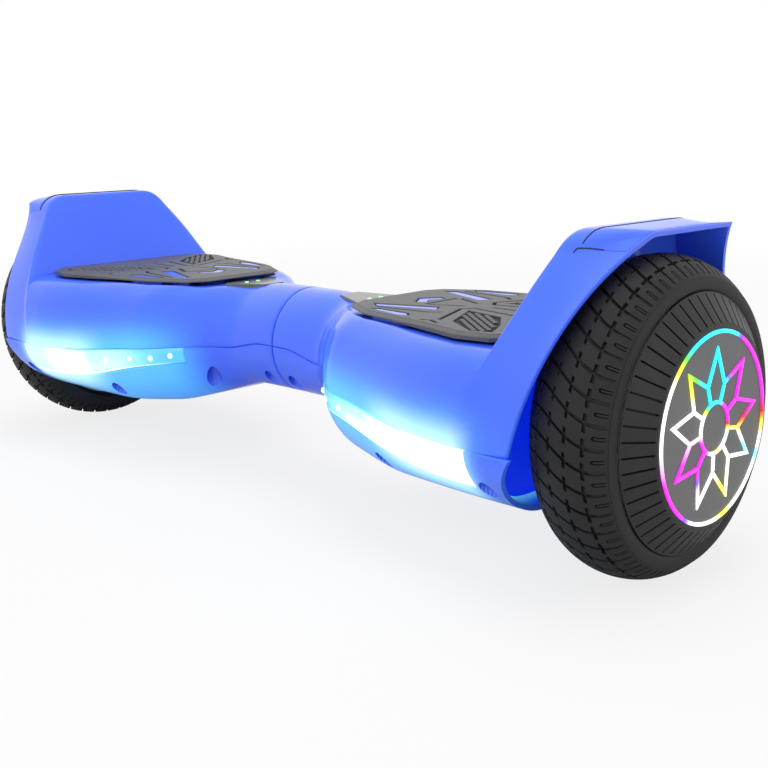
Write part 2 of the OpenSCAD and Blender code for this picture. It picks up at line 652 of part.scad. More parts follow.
// foot pad, seen from above, narrower towards the neck
pad_side = [
    on_pad(0, 28), on_pad(0.048, 41), on_pad(0.22, 55), on_pad(0.45, 61.5),
    on_pad(0.796, 72), on_pad(0.938, 69), on_pad(1, 60)];
pad_slots = [
    [on_pad(0.173, 46.5), on_pad(0.388, 51.5), on_pad(0.433, 49.5), on_pad(0.394, 45.5), on_pad(0.2, 41.5)],
    [on_pad(0.11, 31), on_pad(0.388, 17), on_pad(0.422, 25), on_pad(0.16, 36.5)]];
pad_chevron = [
    on_pad(0.16, 0), on_pad(0.215, -12), on_pad(0.266, -9),
    on_pad(0.225, 0), on_pad(0.266, 9), on_pad(0.215, 12)];
pad_patch = [
    on_pad(0.533, 16), on_pad(0.727, 22), on_pad(0.837, 42),
    on_pad(0.907, 61), on_pad(0.83, 65), on_pad(0.644, 48)];
chamfer_h = 2.4;
module both_ways() for (s = [0, 1]) mirror([0, s, 0]) children();
module pad_outline() polygon(concat([for (p = pad_side) [p[0], -p[1]]], reversed(pad_side)));
module foot_pad() color(rubber_black) translate([0, 0, pad_z]) difference() {
    hull() {
        linear_extrude(pad_t - chamfer_h) pad_outline();
        linear_extrude(pad_t) offset(delta = -pad_chamfer) pad_outline();
    }
    translate([0, 0, -1]) linear_extrude(pad_t + 2) {
        both_ways() for (plan = pad_slots) polygon(plan);
        polygon(pad_chevron);
    }
    translate([0, 0, pad_t - patch_deep]) linear_extrude(2) both_ways() polygon(pad_patch);
}

// pegs under the pad, each with a tongue that cuts a light gate
tongue_t = 1.6;
gate_h = 6;
module pad_plungers() color(rubber_black) plunger_places() {
    translate([0, 0, board_z + gate_h + 2]) cylinder(d = plunger_d, h = pad_z - board_z - gate_h - 2);
    translate([-3, -tongue_t / 2, board_z + gate_h - 2]) cube([6, tongue_t, 5]);
}

module switch_board() color(board_green) {
    translate([switch_x0, -56, web_top]) cube([block_x1 - switch_x0 - 2, 112, board_t]);
    plunger_places() for (s = [-1, 1]) translate([-3, s * (tongue_t / 2 + move_gap + 2) - 2, board_z])
        cube([6, 4, gate_h]);
}

module gyro_board() color(board_green) {
    translate([bulkhead_x0 + frame_t, -22, neck_z - 23]) cube([board_t, 46, 6]);
    translate([bulkhead_x0 + frame_t, 17, neck_z - 23]) cube([board_t, 9, 36]);
    translate([bulkhead_x0 + frame_t, 18, neck_z + 2]) cube([board_t + 1.4, 6, 6]);
}

module shell_screws() color("#30343a") screw_places() {
    translate([0, 0, -seat_down - 2.4]) cylinder(d = screw_head_d, h = 2.4);
    translate([0, 0, -seat_down]) cylinder(d = screw_d, h = seat_down + ledge_t - 0.5);
}

pivot_l = bulkhead_x0 + frame_t + 4;
clip_w = 1.6;
lead_l = 8;
module pivot_tube() color("#8f9398") translate([0, 0, neck_z]) difference() {
    union() {
        rod(pivot_d, -pivot_l, pivot_l);
        rod(2 * hub_r, -hub_x0, hub_x0 - move_gap);
        rod(pivot_d + 2 * bush_t, -bulkhead_x0, -hub_x0);
    }
    rod(pivot_bore, -pivot_l - 1, pivot_l + 1);
}

module pivot_bushes() color("#b08d57") translate([0, 0, neck_z]) for (x = [hub_x0 + 1, bulkhead_x0 - 14])
    difference() {
        rod(pivot_d + 2 * bush_t, x, x + 18);
        rod(pivot_d + 2 * run_fit, x - 1, x + 19);
    }

module pivot_clip() color("#3a3d42") translate([0, 0, neck_z]) difference() {
    rod(pivot_d + 6, pivot_l - clip_w - 1.2, pivot_l - 1.2);
    rod(pivot_d + 2 * run_fit, pivot_l - clip_w - 2.2, pivot_l);
}

module wiring_harness() color("#141414") translate([0, 0, neck_z]) {
    rod(0.55 * pivot_bore, -pivot_l - lead_l, pivot_l + lead_l);
    for (x = [-pivot_l, pivot_l - 6]) rod(pivot_bore - 2 * seat_fit, x, x + 6);
}

module battery_pack() color("#2747a8") on_side(-1)
    translate([block_x1 - block_l - battery_l - 4, -web_y + 1, base_top])
    cube([battery_l, 2 * web_y - 2, battery_h]);

sink_h = 8;
filter_d = 12;
filter_h = 24;
chip_w = 8;
chip_h = 16;
module main_board() color(board_green) {
    translate([base_x0 + 4, -web_y + 2, base_top]) cube([main_l - 6, 2 * web_y - 4, sink_h]);
    translate([base_x0, -web_y + 1, base_top + sink_h]) cube([main_l, 2 * web_y - 2, board_t]);
    for (i = [0:2]) translate([base_x0 + filter_d * (1.2 + 1.5 * i), web_y - 14, base_top + sink_h])
        cylinder(d = filter_d, h = filter_h);
    for (i = [0:5]) translate([base_x0 + chip_w * (1 + 1.4 * i), -web_y + 6, base_top + sink_h])
        cube([chip_w, chip_w / 2, chip_h]);
}

// charge socket with a flange and two ears for the flap's pin
ear_t = 2;
ear_r = 1.4;
barrel_l = 8;
flap_y = socket_face + barrel_r + move_gap;
module charge_socket() color("#26282c") difference() {
    union() {
        rear_rod(socket_d, socket_x, socket_face - 16, socket_face);
        rear_rod(flange_d, socket_x, socket_face - flange_t, socket_face);
        for (s = [-1, 1]) translate([socket_x + s * (barrel_l / 2 + move_gap + ear_t / 2) - ear_t / 2, 0, 0])
            translate([0, socket_face - 1, control_z + pin_up - ear_r])
            cube([ear_t, flap_y + ear_r - socket_face + 1, 2 * ear_r]);
        translate([socket_x - barrel_l / 2 - move_gap - ear_t / 2, flap_y, control_z + pin_up])
            rod(flap_pin_d, 0, barrel_l + 2 * move_gap + ear_t);
    }
    rear_rod(socket_bore, socket_x, socket_face - 10, socket_face + 1);
}

module charge_flap() color("#1b1b1d") difference() {
    union() {
        rear_rod(2 * flap_r, socket_x, flap_y - flap_t / 2, flap_y + flap_t / 2);
        translate([socket_x - 3, flap_y - flap_t / 2, control_z]) cube([6, flap_t, pin_up]);
        translate([socket_x - barrel_l / 2, flap_y, control_z + pin_up]) rod(2 * barrel_r, 0, barrel_l);
    }
    translate([socket_x - barrel_l / 2 - 1, flap_y, control_z + pin_up])
        rod(flap_pin_d + 2 * run_fit, 0, barrel_l + 2);
}

module power_button() color("#c0c4c8") {
    rear_rod(button_d, button_x, button_face - boss_l - move_gap - 2, button_face + button_travel + 0.6);
    rear_rod(button_d + 4, button_x, button_face - boss_l - move_gap - 2.4, button_face - boss_l - move_gap);
}

half_turn(-1) top_skin(false);  // left_top_shell
half_turn(1) top_skin(true);  // right_top_shell
on_side(-1) bottom_skin();  // left_bottom_shell
on_side(1) bottom_skin();  // right_bottom_shell
half_turn(-1) fender_cap();  // left_fender_cap
half_turn(1) fender_cap();  // right_fender_cap
on_side(-1) chassis();  // left_chassis
on_side(1) chassis();  // right_chassis
on_side(-1) arch_liner();  // left_arch_liner
on_side(1) arch_liner();  // right_arch_liner
on_side(-1) axle();  // left_axle
on_side(1) axle();  // right_axle
on_side(-1) axle_clamp();  // left_axle_clamp
on_side(1) axle_clamp();  // right_axle_clamp
on_side(-1) stator();  // left_stator
on_side(1) stator();  // right_stator
on_side(-1) headlight_lens();  // left_headlight_lens
on_side(1) headlight_lens();  // right_headlight_lens
on_side(-1) lamp_strip();  // left_lamp_strip
on_side(1) lamp_strip();  // right_lamp_strip
on_side(-1) indicator_panel();  // left_indicator_panel
on_side(1) indicator_panel();  // right_indicator_panel
on_side(-1) gyro_board();  // left_gyro_board
on_side(1) gyro_board();  // right_gyro_board
on_side(-1) switch_board();  // left_switch_board
on_side(1) switch_board();  // right_switch_board
on_side(-1) shell_screws();  // left_shell_screws
on_side(1) shell_screws();  // right_shell_screws
on_side(-1) foot_pad();  // left_foot_pad
on_side(1) foot_pad();  // right_foot_pad
on_side(-1) pad_plungers();  // left_pad_plungers
on_side(1) pad_plungers();  // right_pad_plungers
on_side(-1) tyre();  // left_tyre
on_side(1) tyre();  // right_tyre
on_side(-1) rim();  // left_rim
on_side(1) rim();  // right_rim
on_side(-1) magnets();  // left_magnets
on_side(1) magnets();  // right_magnets
on_side(-1) inner_cover();  // left_inner_cover
on_side(1) inner_cover();  // right_inner_cover
on_side(-1) outer_cover();  // left_outer_cover
on_side(1) outer_cover();  // right_outer_cover
on_side(-1) bearings();  // left_bearings
on_side(1) bearings();  // right_bearings
on_side(-1) hub_cover();  // left_hub_cover
on_side(1) hub_cover();  // right_hub_cover
on_side(-1) hub_disc();  // left_hub_disc
on_side(1) hub_disc();  // right_hub_disc
on_side(-1) hub_light();  // left_hub_light
on_side(1) hub_light();  // right_hub_light
pivot_tube();
pivot_bushes();
pivot_clip();
wiring_harness();
battery_pack();
main_board();
rear_collars();
charge_socket();
charge_flap();
power_button();
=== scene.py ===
import bpy
import bmesh
import math
from mathutils import Matrix, Vector, geometry


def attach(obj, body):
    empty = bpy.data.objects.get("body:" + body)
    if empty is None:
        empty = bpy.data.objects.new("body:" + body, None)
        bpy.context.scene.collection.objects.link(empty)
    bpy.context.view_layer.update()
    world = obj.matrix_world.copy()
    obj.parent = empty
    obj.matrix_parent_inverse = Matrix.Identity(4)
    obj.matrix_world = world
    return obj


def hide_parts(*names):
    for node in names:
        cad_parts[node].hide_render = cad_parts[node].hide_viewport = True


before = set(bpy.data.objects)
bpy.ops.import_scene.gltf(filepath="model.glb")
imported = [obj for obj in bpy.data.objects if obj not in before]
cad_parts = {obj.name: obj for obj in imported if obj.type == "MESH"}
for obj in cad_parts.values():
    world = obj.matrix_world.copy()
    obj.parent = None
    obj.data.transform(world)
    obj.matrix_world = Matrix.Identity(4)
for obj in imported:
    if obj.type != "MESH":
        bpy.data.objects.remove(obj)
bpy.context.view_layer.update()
scene = bpy.context.scene
sides = (("left", -1), ("right", 1))
print("frame loaded,", len(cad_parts), "nodes")


# small helpers, all lengths in mm until a mesh is made

def smooth(x, a, b):
    t = min(max((x - a) / (b - a), 0), 1)
    return t * t * (3 - 2 * t)


def lerp(a, b, t):
    return tuple(p + (q - p) * t for p, q in zip(a, b))


def bez(p, t):
    k = ((1 - t) ** 3, 3 * t * (1 - t) ** 2, 3 * t * t * (1 - t), t ** 3)
    return tuple(sum(w * q[i] for w, q in zip(k, p)) for i in range(len(p[0])))


def circle(n, r=1.0):
    return [(r * math.cos(2 * math.pi * k / n), r * math.sin(2 * math.pi * k / n)) for k in range(n)]


def ringFaces(rows, n, start=0, closed=False):
    # quads between rows of n points; closed joins the last row to the first
    faces = []
    for i in range(rows if closed else rows - 1):
        a, b = start + i * n, start + (i + 1) % rows * n
        faces += [(a + j, a + (j + 1) % n, b + (j + 1) % n, b + j) for j in range(n)]
    return faces


def linked(name, data):
    obj = bpy.data.objects.new(name, data)
    scene.collection.objects.link(obj)
    return obj


def meshOf(name, points, faces, xWay=1, yWay=1):
    mesh = bpy.data.meshes.new(name)
    mesh.from_pydata([(xWay * x / 1000, yWay * y / 1000, z / 1000) for x, y, z in points], [], faces)
    return mesh


def faceOut(mesh, weld=False):
    bm = bmesh.new()
    bm.from_mesh(mesh)
    if weld:
        bmesh.ops.remove_doubles(bm, verts=bm.verts, dist=0.000008)
        bmesh.ops.dissolve_degenerate(bm, edges=bm.edges, dist=0.000004)
    bmesh.ops.recalc_face_normals(bm, faces=bm.faces)
    bm.to_mesh(mesh)
    bm.free()


def linkMesh(name, mesh, material, sharp):
    mesh.polygons.foreach_set("use_smooth", [True] * len(mesh.polygons))
    mesh.set_sharp_from_angle(angle=math.radians(sharp))
    mesh.materials.clear()
    mesh.materials.append(material)
    return linked(name, mesh)


def solidPiece(name, points, faces, material, side=1, sharp=32, turned=False):
    # the left half's piece is a mirror image, or the same moulding turned half round
    mesh = meshOf(name, points, faces, side, side if turned else 1)
    faceOut(mesh, weld=True)
    return linkMesh(name, mesh, material, sharp)


def thickSkin(outer, inner):
    # closed wall between two equal sets of rings
    rings, n = len(outer), len(outer[0])
    points = [p for ring in outer for p in ring] + [p for ring in inner for p in ring]
    o = lambda i, j: i * n + j
    k = lambda i, j: rings * n + i * n + j
    faces = []
    for i in range(rings - 1):
        for j in range(n - 1):
            faces.append((o(i, j), o(i, j + 1), o(i + 1, j + 1), o(i + 1, j)))
            faces.append((k(i, j), k(i + 1, j), k(i + 1, j + 1), k(i, j + 1)))
        for j in (0, n - 1):
            faces.append((o(i, j), o(i + 1, j), k(i + 1, j), k(i, j)))
    for i in (0, rings - 1):
        for j in range(n - 1):
            faces.append((o(i, j), k(i, j), k(i, j + 1), o(i, j + 1)))
    return points, faces


def asMesh(obj, name, material, sharp):
    # evaluates the modifiers into a plain mesh on a new object
    dg = bpy.context.evaluated_depsgraph_get()
    mesh = bpy.data.meshes.new_from_object(obj.evaluated_get(dg))
    old = obj.data
    bpy.data.objects.remove(obj)
    (bpy.data.meshes if isinstance(old, bpy.types.Mesh) else bpy.data.curves).remove(old)
    return linkMesh(name, mesh, material, sharp)


def place(obj, body, node):
    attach(obj, body)
    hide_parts(node)


def paintPoints(obj, layerName, colourAt):
    # one colour for each point of the mesh, from its place in mm
    values = []
    for v in obj.data.vertices:
        values += [*colourAt(v.co.x * 1000, v.co.y * 1000, v.co.z * 1000), 1]
    obj.data.attributes.new(layerName, "FLOAT_COLOR", "POINT").data.foreach_set("color", values)


# finishes

noiseSpan = (0.15, 0.85)  # the part of a noise's range that is used


def setSockets(node, values):
    for key, value in values.items():
        node.inputs[key].default_value = value


def addNode(tree, kind, sockets=None, **values):
    node = tree.nodes.new(kind)
    for key, value in values.items():
        setattr(node, key, value)
    setSockets(node, sockets or {})
    return node


def wire(tree, *pairs):
    for a, b in pairs:
        tree.links.new(a, b)


def newFinish(name):
    mat = bpy.data.materials.new(name)
    mat.use_nodes = True
    return mat, mat.node_tree, mat.node_tree.nodes["Principled BSDF"]


def noiseAt(tree, coords, scale, detail):
    noise = addNode(tree, "ShaderNodeTexNoise", {"Scale": scale, "Detail": detail, "Roughness": 0.5})
    wire(tree, (coords.outputs["Object"], noise.inputs["Vector"]))
    return noise.outputs["Fac"]


def mottled(tree, bsdf, look, grain, bump, depth=0.0002):
    # colour and roughness drift over broad patches, under a fine grain
    low, high, scale, rough = look
    coords = addNode(tree, "ShaderNodeTexCoord")
    broad = noiseAt(tree, coords, scale, 3)
    colours = addNode(tree, "ShaderNodeValToRGB")
    for end, at, colour in zip(colours.color_ramp.elements, noiseSpan, (low, high)):
        end.position, end.color = at, (*colour, 1)
    spread = addNode(tree, "ShaderNodeMapRange", {
        "From Min": noiseSpan[0], "From Max": noiseSpan[1], "To Min": rough[0], "To Max": rough[1]})
    bumps = addNode(tree, "ShaderNodeBump", {"Strength": bump, "Distance": depth})
    wire(
        tree, (broad, colours.inputs["Fac"]), (broad, spread.inputs["Value"]),
        (colours.outputs["Color"], bsdf.inputs["Base Color"]),
        (spread.outputs["Result"], bsdf.inputs["Roughness"]),
        (noiseAt(tree, coords, grain, 2), bumps.inputs["Height"]),
        (bumps.outputs["Normal"], bsdf.inputs["Normal"]),
    )


def plainFinish(name, *look, metallic=0, coat=0, grain=900, bump=0.15, depth=0.0002, shine=0.5):
    mat, tree, bsdf = newFinish(name)
    mottled(tree, bsdf, look, grain, bump, depth)
    setSockets(bsdf, {
        "Metallic": metallic, "Specular IOR Level": shine, "Coat Weight": coat, "Coat Roughness": 0.08})
    return mat


def glowFinish(name, strength, rough):
    # lit pieces whose colour is painted on the mesh
    mat, tree, bsdf = newFinish(name)
    paint = addNode(tree, "ShaderNodeAttribute", attribute_name="lineColour").outputs["Color"]
    wire(tree, (paint, bsdf.inputs["Base Color"]), (paint, bsdf.inputs["Emission Color"]))
    setSockets(bsdf, {"Emission Strength": strength, "Roughness": rough})
    return mat


# glow and hotGlow are painted glow: emission colours painted on the shell round the headlights
shellLook = dict(
    mottle=((0.036, 0.120, 0.92), (0.044, 0.138, 0.97), 9, (0.33, 0.37)),
    coat=0.85, coatRough=0.09, shine=0.2, glow=(0.06, 0.48, 0.55), hotGlow=(0.54, 0.6, 0.36),
)


def shellFinish():
    # glossy moulded plastic, with painted glow: emission painted on the shell along the headlights, standing
    # in for the lamps' spill and bloom
    mat, tree, bsdf = newFinish("glossBlueShell")
    mottled(tree, bsdf, shellLook["mottle"], 500, 0.02)
    setSockets(bsdf, {
        "Coat Weight": shellLook["coat"], "Coat Roughness": shellLook["coatRough"],
        "Specular IOR Level": shellLook["shine"], "Emission Strength": 1.0})
    paint = addNode(tree, "ShaderNodeAttribute", attribute_name="lampGlow")
    wire(tree, (paint.outputs["Color"], bsdf.inputs["Emission Color"]))
    return mat


# darkest and lightest colour, patch scale, roughness from and to, then what differs from a plain plastic
plainLooks = dict(
    tyreRubber=((0.007, 0.007, 0.008), (0.017, 0.017, 0.018), 40, (0.5, 0.65),
                dict(grain=1800, bump=0.2, shine=0.32)),
    padRubber=((0.060, 0.060, 0.062), (0.096, 0.096, 0.099), 60, (0.42, 0.55), dict(grain=2500, bump=0.35)),
    # the groove finish is near-black, darker than the pad's own rubber: painted shade on the floor of the
    # grooves and between the bricks
    padGroove=((0.004, 0.004, 0.004), (0.010, 0.010, 0.010), 60, (0.6, 0.8), dict(grain=2500, bump=0.3)),
    ribbedCover=((0.012, 0.012, 0.013), (0.024, 0.024, 0.025), 50, (0.38, 0.5), dict(grain=1500, shine=0.3)),
    smokedDisc=((0.095, 0.095, 0.096), (0.125, 0.125, 0.126), 30, (0.3, 0.42), dict(grain=1400, bump=0.08)),
    indicatorPanel=((0.060, 0.068, 0.060), (0.095, 0.105, 0.092), 60, (0.2, 0.3),
                    dict(coat=0.4, grain=1500, bump=0.05)),
    castAlloy=((0.42, 0.43, 0.45), (0.58, 0.59, 0.61), 60, (0.38, 0.55),
               dict(metallic=1, grain=700, bump=0.3)),
    turnedSteel=((0.45, 0.46, 0.48), (0.62, 0.63, 0.65), 90, (0.2, 0.35),
                 dict(metallic=1, grain=1200, bump=0.1)),
    darkSteel=((0.05, 0.052, 0.056), (0.11, 0.112, 0.118), 80, (0.35, 0.5), dict(metallic=1, grain=1200)),
    copperWinding=((0.36, 0.12, 0.04), (0.55, 0.22, 0.08), 220, (0.3, 0.45),
                   dict(metallic=1, grain=700, bump=0.6, depth=0.0005)),
    bushBronze=((0.32, 0.18, 0.05), (0.46, 0.27, 0.09), 90, (0.3, 0.45), dict(metallic=1)),
    circuitBoard=((0.010, 0.09, 0.03), (0.025, 0.16, 0.055), 260, (0.3, 0.45), dict(grain=800, bump=0.2)),
    batteryWrap=((0.012, 0.035, 0.22), (0.022, 0.06, 0.34), 40, (0.3, 0.42), dict(coat=0.3)),
    archLiner=((0.012, 0.08, 0.85), (0.022, 0.12, 1.0), 14, (0.3, 0.42),
               dict(coat=0.2, grain=700, bump=0.05)),
    blackPlastic=((0.010, 0.011, 0.013), (0.022, 0.023, 0.027), 60, (0.4, 0.55), dict(grain=1500)),
    flapRubber=((0.008, 0.008, 0.009), (0.018, 0.018, 0.019), 80, (0.6, 0.75), dict(grain=2200, bump=0.3)),
    buttonSilver=((0.42, 0.43, 0.45), (0.6, 0.61, 0.63), 120, (0.18, 0.3), dict(coat=0.5)),
    lampStrip=((0.75, 0.85, 0.9), (0.9, 0.97, 1.0), 120, (0.3, 0.4), {}),
)
finish = {name: plainFinish(name, *look[:4], **look[4]) for name, look in plainLooks.items()}
for name, strength, rough in (("hubLines", 1.0, 0.3), ("headlightLens", 1.0, 0.08), ("lampDots", 1.2, 0.1)):
    finish[name] = glowFinish(name, strength, rough)
blueShell = shellFinish()
# painted light: the arch liner emits a blue glow, so the arch stays bright in its own shade
linerShader = finish["archLiner"].node_tree.nodes["Principled BSDF"]
setSockets(linerShader, {"Emission Color": (0.0, 0.027, 1.0, 1), "Emission Strength": 0.42})
print("finishes made")


# the body's sections, as in the solid model

body = dict(
    axleZ=84, wheelX=263, wall=2.6, half=95, neckR=35, neckZ=92.5, deckZ=124.5, splitZ=77, bellyZ=39,
    deckHalf=72, bellyHalf=48, fenderZ=182.3, wallX=224.5, lean=0.27, bandW=32, edgeLean=0.22,
    edge=0.7, round=3.0,
)
fenderZ, half, splitZ, axleZ = (body[k] for k in ("fenderZ", "half", "splitZ", "axleZ"))
bodyEnd = body["wallX"] - 10
mouth = ((0.5, 0.8), (0.9, 0.25), (1.5, 0))  # sections at the neck's rounded mouth, and how far each draws in


def stations(end, start=4, step=3.5):
    return [start + step * k for k in range(math.ceil((end - start) / step))]


def flare(x):
    return smooth(x, 40, 100)


def wide(x, inset):
    return body["neckR"] + (half - body["neckR"]) * (0.62 * flare(x) + 0.38 * smooth(x, 70, bodyEnd)) - inset


def deckWide(x):
    return 0.8 + body["deckHalf"] * (0.72 * flare(x - 2) + 0.28 * smooth(x, 90, bodyEnd - 15))


def topZ(x, inset):
    top = body["neckZ"] + body["neckR"]
    return top + (body["deckZ"] - top) * smooth(x, 20, 76) - inset


def sink(x):
    return 0.65 * smooth(x, 35, 95) + 0.35 * smooth(x, 60, 145)


def lowZ(x, inset):
    low = body["neckZ"] - body["neckR"]
    return low + (body["bellyZ"] - low) * sink(x) + inset


def seamZ(x):
    return body["neckZ"] + (splitZ - body["neckZ"]) * (0.42 * smooth(x, 10, 50) + 0.58 * smooth(x, 60, 190))


def upperCurve(x, inset):
    w, z, s, f = wide(x, inset), topZ(x, inset), seamZ(x), flare(x)
    d = min(deckWide(x), w - 8)
    return ((d, z), (d + (0.55 + 0.1 * f) * (w - d), z), (w, s + (0.55 + 0.12 * f) * (z - s)), (w, s))


def lowerCurve(x, inset):
    w, z, s, k = wide(x, inset), lowZ(x, inset), seamZ(x) - 0.2, 0.55 - 0.1 * flare(x)
    d = 0.8 + body["bellyHalf"] * sink(x)
    return ((w, s), (w, s - k * (s - z)), (d + k * (w - d), z), (d, z))


def upperT(step):
    return step / 16 if step <= 8 else 0.5 + (step - 8) / 6


# fender outlines as distance to the front or rear and height:
# the top corner, then the flank down to the split line

def innerFront(i):
    z = fenderZ
    corner = ((31, z - i), (41, z - 0.1 - i), (45.5 - i / 2, z - 3.6 - i), (49.5 - i, z - 10 - i / 2))
    return corner, (corner[3], (72 - i, axleZ + 63), (half - 6 - i, axleZ + 36), (half - i, splitZ))


def innerRear(i):
    z = fenderZ
    corner = ((38, z - i), (46, z - i), (51.5 - i / 2, z - 2.4 - i), (56 - i, z - 9 - i / 2))
    return corner, (corner[3], (72 - i, axleZ + 59), (half - 3 - i, axleZ + 35), (half - i, splitZ))


# outer edge: distance and drop of the top corner's points
# the left fender's rear tip is rounded off, the right one's ends in a point
edgeDrop = 2.3
tips = dict(
    front=((8, 0), (10, 0), (12, 0), (14, 0.4)),
    left=((20, 0), (38, 0), (50, 0.4), (55, 4)), right=((20, 0), (35, 0), (50, 0), (62, 0)),
)


def frontOutline(i):
    corner = tuple((y, fenderZ - edgeDrop - drop - i) for y, drop in tips["front"])
    return corner, (corner[3], (62 - i, axleZ + 77 - i), (half - 4 - i, axleZ + 55), (half - 2 - i, splitZ))


def rearOutline(sideName, i):
    corner = tuple((y - i * (y > 52), fenderZ - edgeDrop - drop - i) for y, drop in tips[sideName])
    return corner, (corner[3], (58 - i, axleZ + 66), (half - 2 - i, axleZ + 41), (half - 2 - i, splitZ))


def outlineAt(corner, flank, step):
    return bez(corner, step / 3) if step <= 3 else bez(flank, (step - 3) / 8)


def wallPlane(z):
    return body["wallX"] + body["lean"] * (z - body["deckZ"])


def edgePlane(z):
    return body["wallX"] + body["bandW"] + body["edgeLean"] * (z - body["deckZ"])


# ring steps run from the split line at the front, over the top, to the split line at the rear
steps = [11, 10.92, 10.7, 10.3] + [10 - 0.25 * i for i in range(41)]
deckCuts = 10


def ringFrom(pointAt):
    # pointAt takes -1 for the front or 1 for the rear, and a step
    front = [pointAt(-1, s) for s in steps]
    rear = [pointAt(1, s) for s in reversed(steps)]
    middle = [lerp(front[-1], rear[0], k / deckCuts) for k in range(1, deckCuts)]
    return front + middle + rear


def bodyRing(x, inset, drawIn=0):
    curve = upperCurve(x, inset + drawIn)
    def at(way, s):
        y, z = bez(curve, upperT(s))
        return (x, way * y, z)
    return ringFrom(at)


def wallRing(shift, inset):
    curve = upperCurve(221, inset)
    def at(way, s):
        y, z = bez(curve, upperT(s))
        return (wallPlane(z) + shift, way * y, z)
    return ringFrom(at)


# the front of the fender band narrows towards the split line, from these heights down
bandTaper = dict(low=80, inner=9, innerHigh=132, outer=5, outerHigh=155)


def taper(edge, way, z):
    return bandTaper[edge] * (1 - smooth(z, bandTaper["low"], bandTaper[edge + "High"])) if way < 0 else 0


def bandInner(inset):
    front, rear = innerFront(inset), innerRear(inset)
    def at(way, s):
        y, z = outlineAt(*(front if way < 0 else rear), s)
        return (wallPlane(z) + inset + taper("inner", way, z), way * y, z)
    return ringFrom(at)


def bandOuter(sideName, inset):
    front, rear = frontOutline(inset), rearOutline(sideName, inset)
    def at(way, s):
        y, z = outlineAt(*(front if way < 0 else rear), s)
        return (edgePlane(z) - taper("outer", way, z), way * y, z)
    return ringFrom(at)


def mixRings(a, b, t):
    return [lerp(p, q, t) for p, q in zip(a, b)]


def archRings(a, b, u):
    # across the fender band: sideways at an even pace, turning in late
    pace = (u, u * u, u * u)
    return [tuple(c + k * (d - c) for c, d, k in zip(p, q, pace)) for p, q in zip(a, b)]


def towards(a, b, run, most=0.45):
    # each point of a moved a set distance towards b
    return [lerp(p, q, min(most, run / max(math.dist(p, q), 0.001))) for p, q in zip(a, b)]


def splitChamfer(rings, rise):
    # a fine chamfer along the split line
    for ring in rings:
        for end in (0, -1):
            x, y, z = ring[end]
            ring[end] = (x, y - math.copysign(0.6, y), z + rise)


padPlan = [(75, -28), (82, -41), (107, -55), (140, -61), (168, -66), (190, -72), (210.5, -69), (219.5, -60)]
lip = dict(tall=1.5, from0=74, to0=84, from1=120, to1=172)


def padEdge(x):
    for a, b in zip(padPlan, padPlan[1:]):
        if a[0] <= x <= b[0]:
            return -a[1] + (a[1] - b[1]) * (x - a[0]) / (b[0] - a[0])
    return 1000


def lipEnd(x):
    return lip["tall"] * (1 - smooth(x, lip["from1"], lip["to1"]))


def lipped(ring):
    # the deck's edge stands up a little beside the foot pad, towards the neck
    out = []
    for x, y, z in ring:
        e = abs(y) - padEdge(x)
        tall = lipEnd(x) * smooth(x, lip["from0"], lip["to0"])
        out.append((x, y, z + tall * smooth(e, 0.5, 1.6) * (1 - smooth(e, 2.2, 12))))
    return out


def topRings(sideName):
    w, e, lastX = body["wall"], body["edge"], 198
    # pairs of outer and inner rings: neck and deck, wall, round corner, fender band, edge
    pairs = [(bodyRing(x, 0, drawIn), bodyRing(x, w)) for x, drawIn in mouth]
    pairs += [(lipped(bodyRing(x, 0)), bodyRing(x, w)) for x in stations(lastX)]
    lastOut, lastIn = bodyRing(lastX, 0), bodyRing(lastX, w)
    a, b, c = wallRing(-3, 0), bandInner(0), bandOuter(sideName, 0)
    ai, bi, ci = wallRing(w - 1, w), bandInner(w), bandOuter(sideName, w)
    pairs += [(mixRings(lastOut, a, k / 7), mixRings(lastIn, ai, k / 7)) for k in range(8)]
    before, after = towards(b, a, body["round"]), archRings(b, c, 0.1)
    pairs += [(mixRings(a, before, k), mixRings(ai, bi, k)) for k in (0.25, 0.5, 0.75)]
    for k in (0, 0.2, 0.4, 0.6, 0.8, 1):
        corner = [bez((p, lerp(p, q, 2 / 3), lerp(r, q, 2 / 3), r), k) for p, q, r in zip(before, b, after)]
        pairs.append((corner, bi))
    pairs += [(archRings(b, c, k), archRings(bi, ci, k)) for k in (0.2, 0.3, 0.4, 0.5, 0.6, 0.7, 0.8, 0.9)]
    pairs += [(towards(c, archRings(b, c, 0.9), e), archRings(bi, ci, 0.98)), (towards(c, ci, e), ci)]
    outer, inner = zip(*pairs)
    splitChamfer(outer, 0.05)
    return outer, inner


lensForm = dict(x0=71, x1=216, thick=2.4, fit=0.012, sunk=0.15, endGap=0.4, margin=0.006, cols=72, rows=24)


def lensDrop(x):
    return 0.2 + 0.21 * smooth(x, lensForm["x0"], lensForm["x1"] - 20)


def endShift(z):
    return 14 * (max(z - body["bellyZ"] - 6, 0) / (splitZ - body["bellyZ"] - 6)) ** 1.5


lowerSteps = [0, 0.012, 0.03] + [0.06 + 0.94 * i / 22 for i in range(23)]
bellyCuts = 8


def lowRing(x, inset, t0, reach, drawIn=0):
    curve = lowerCurve(x, inset + drawIn)
    def at(way, start):
        spots = [bez(curve, start + (1 - start) * k) for k in lowerSteps]
        return [(x + reach * endShift(z), way * y, z) for y, z in spots]
    front, rear = at(-1, t0), at(1, 0)[::-1]
    middle = [lerp(front[-1], rear[0], k / bellyCuts) for k in range(1, bellyCuts)]
    return front + middle + rear


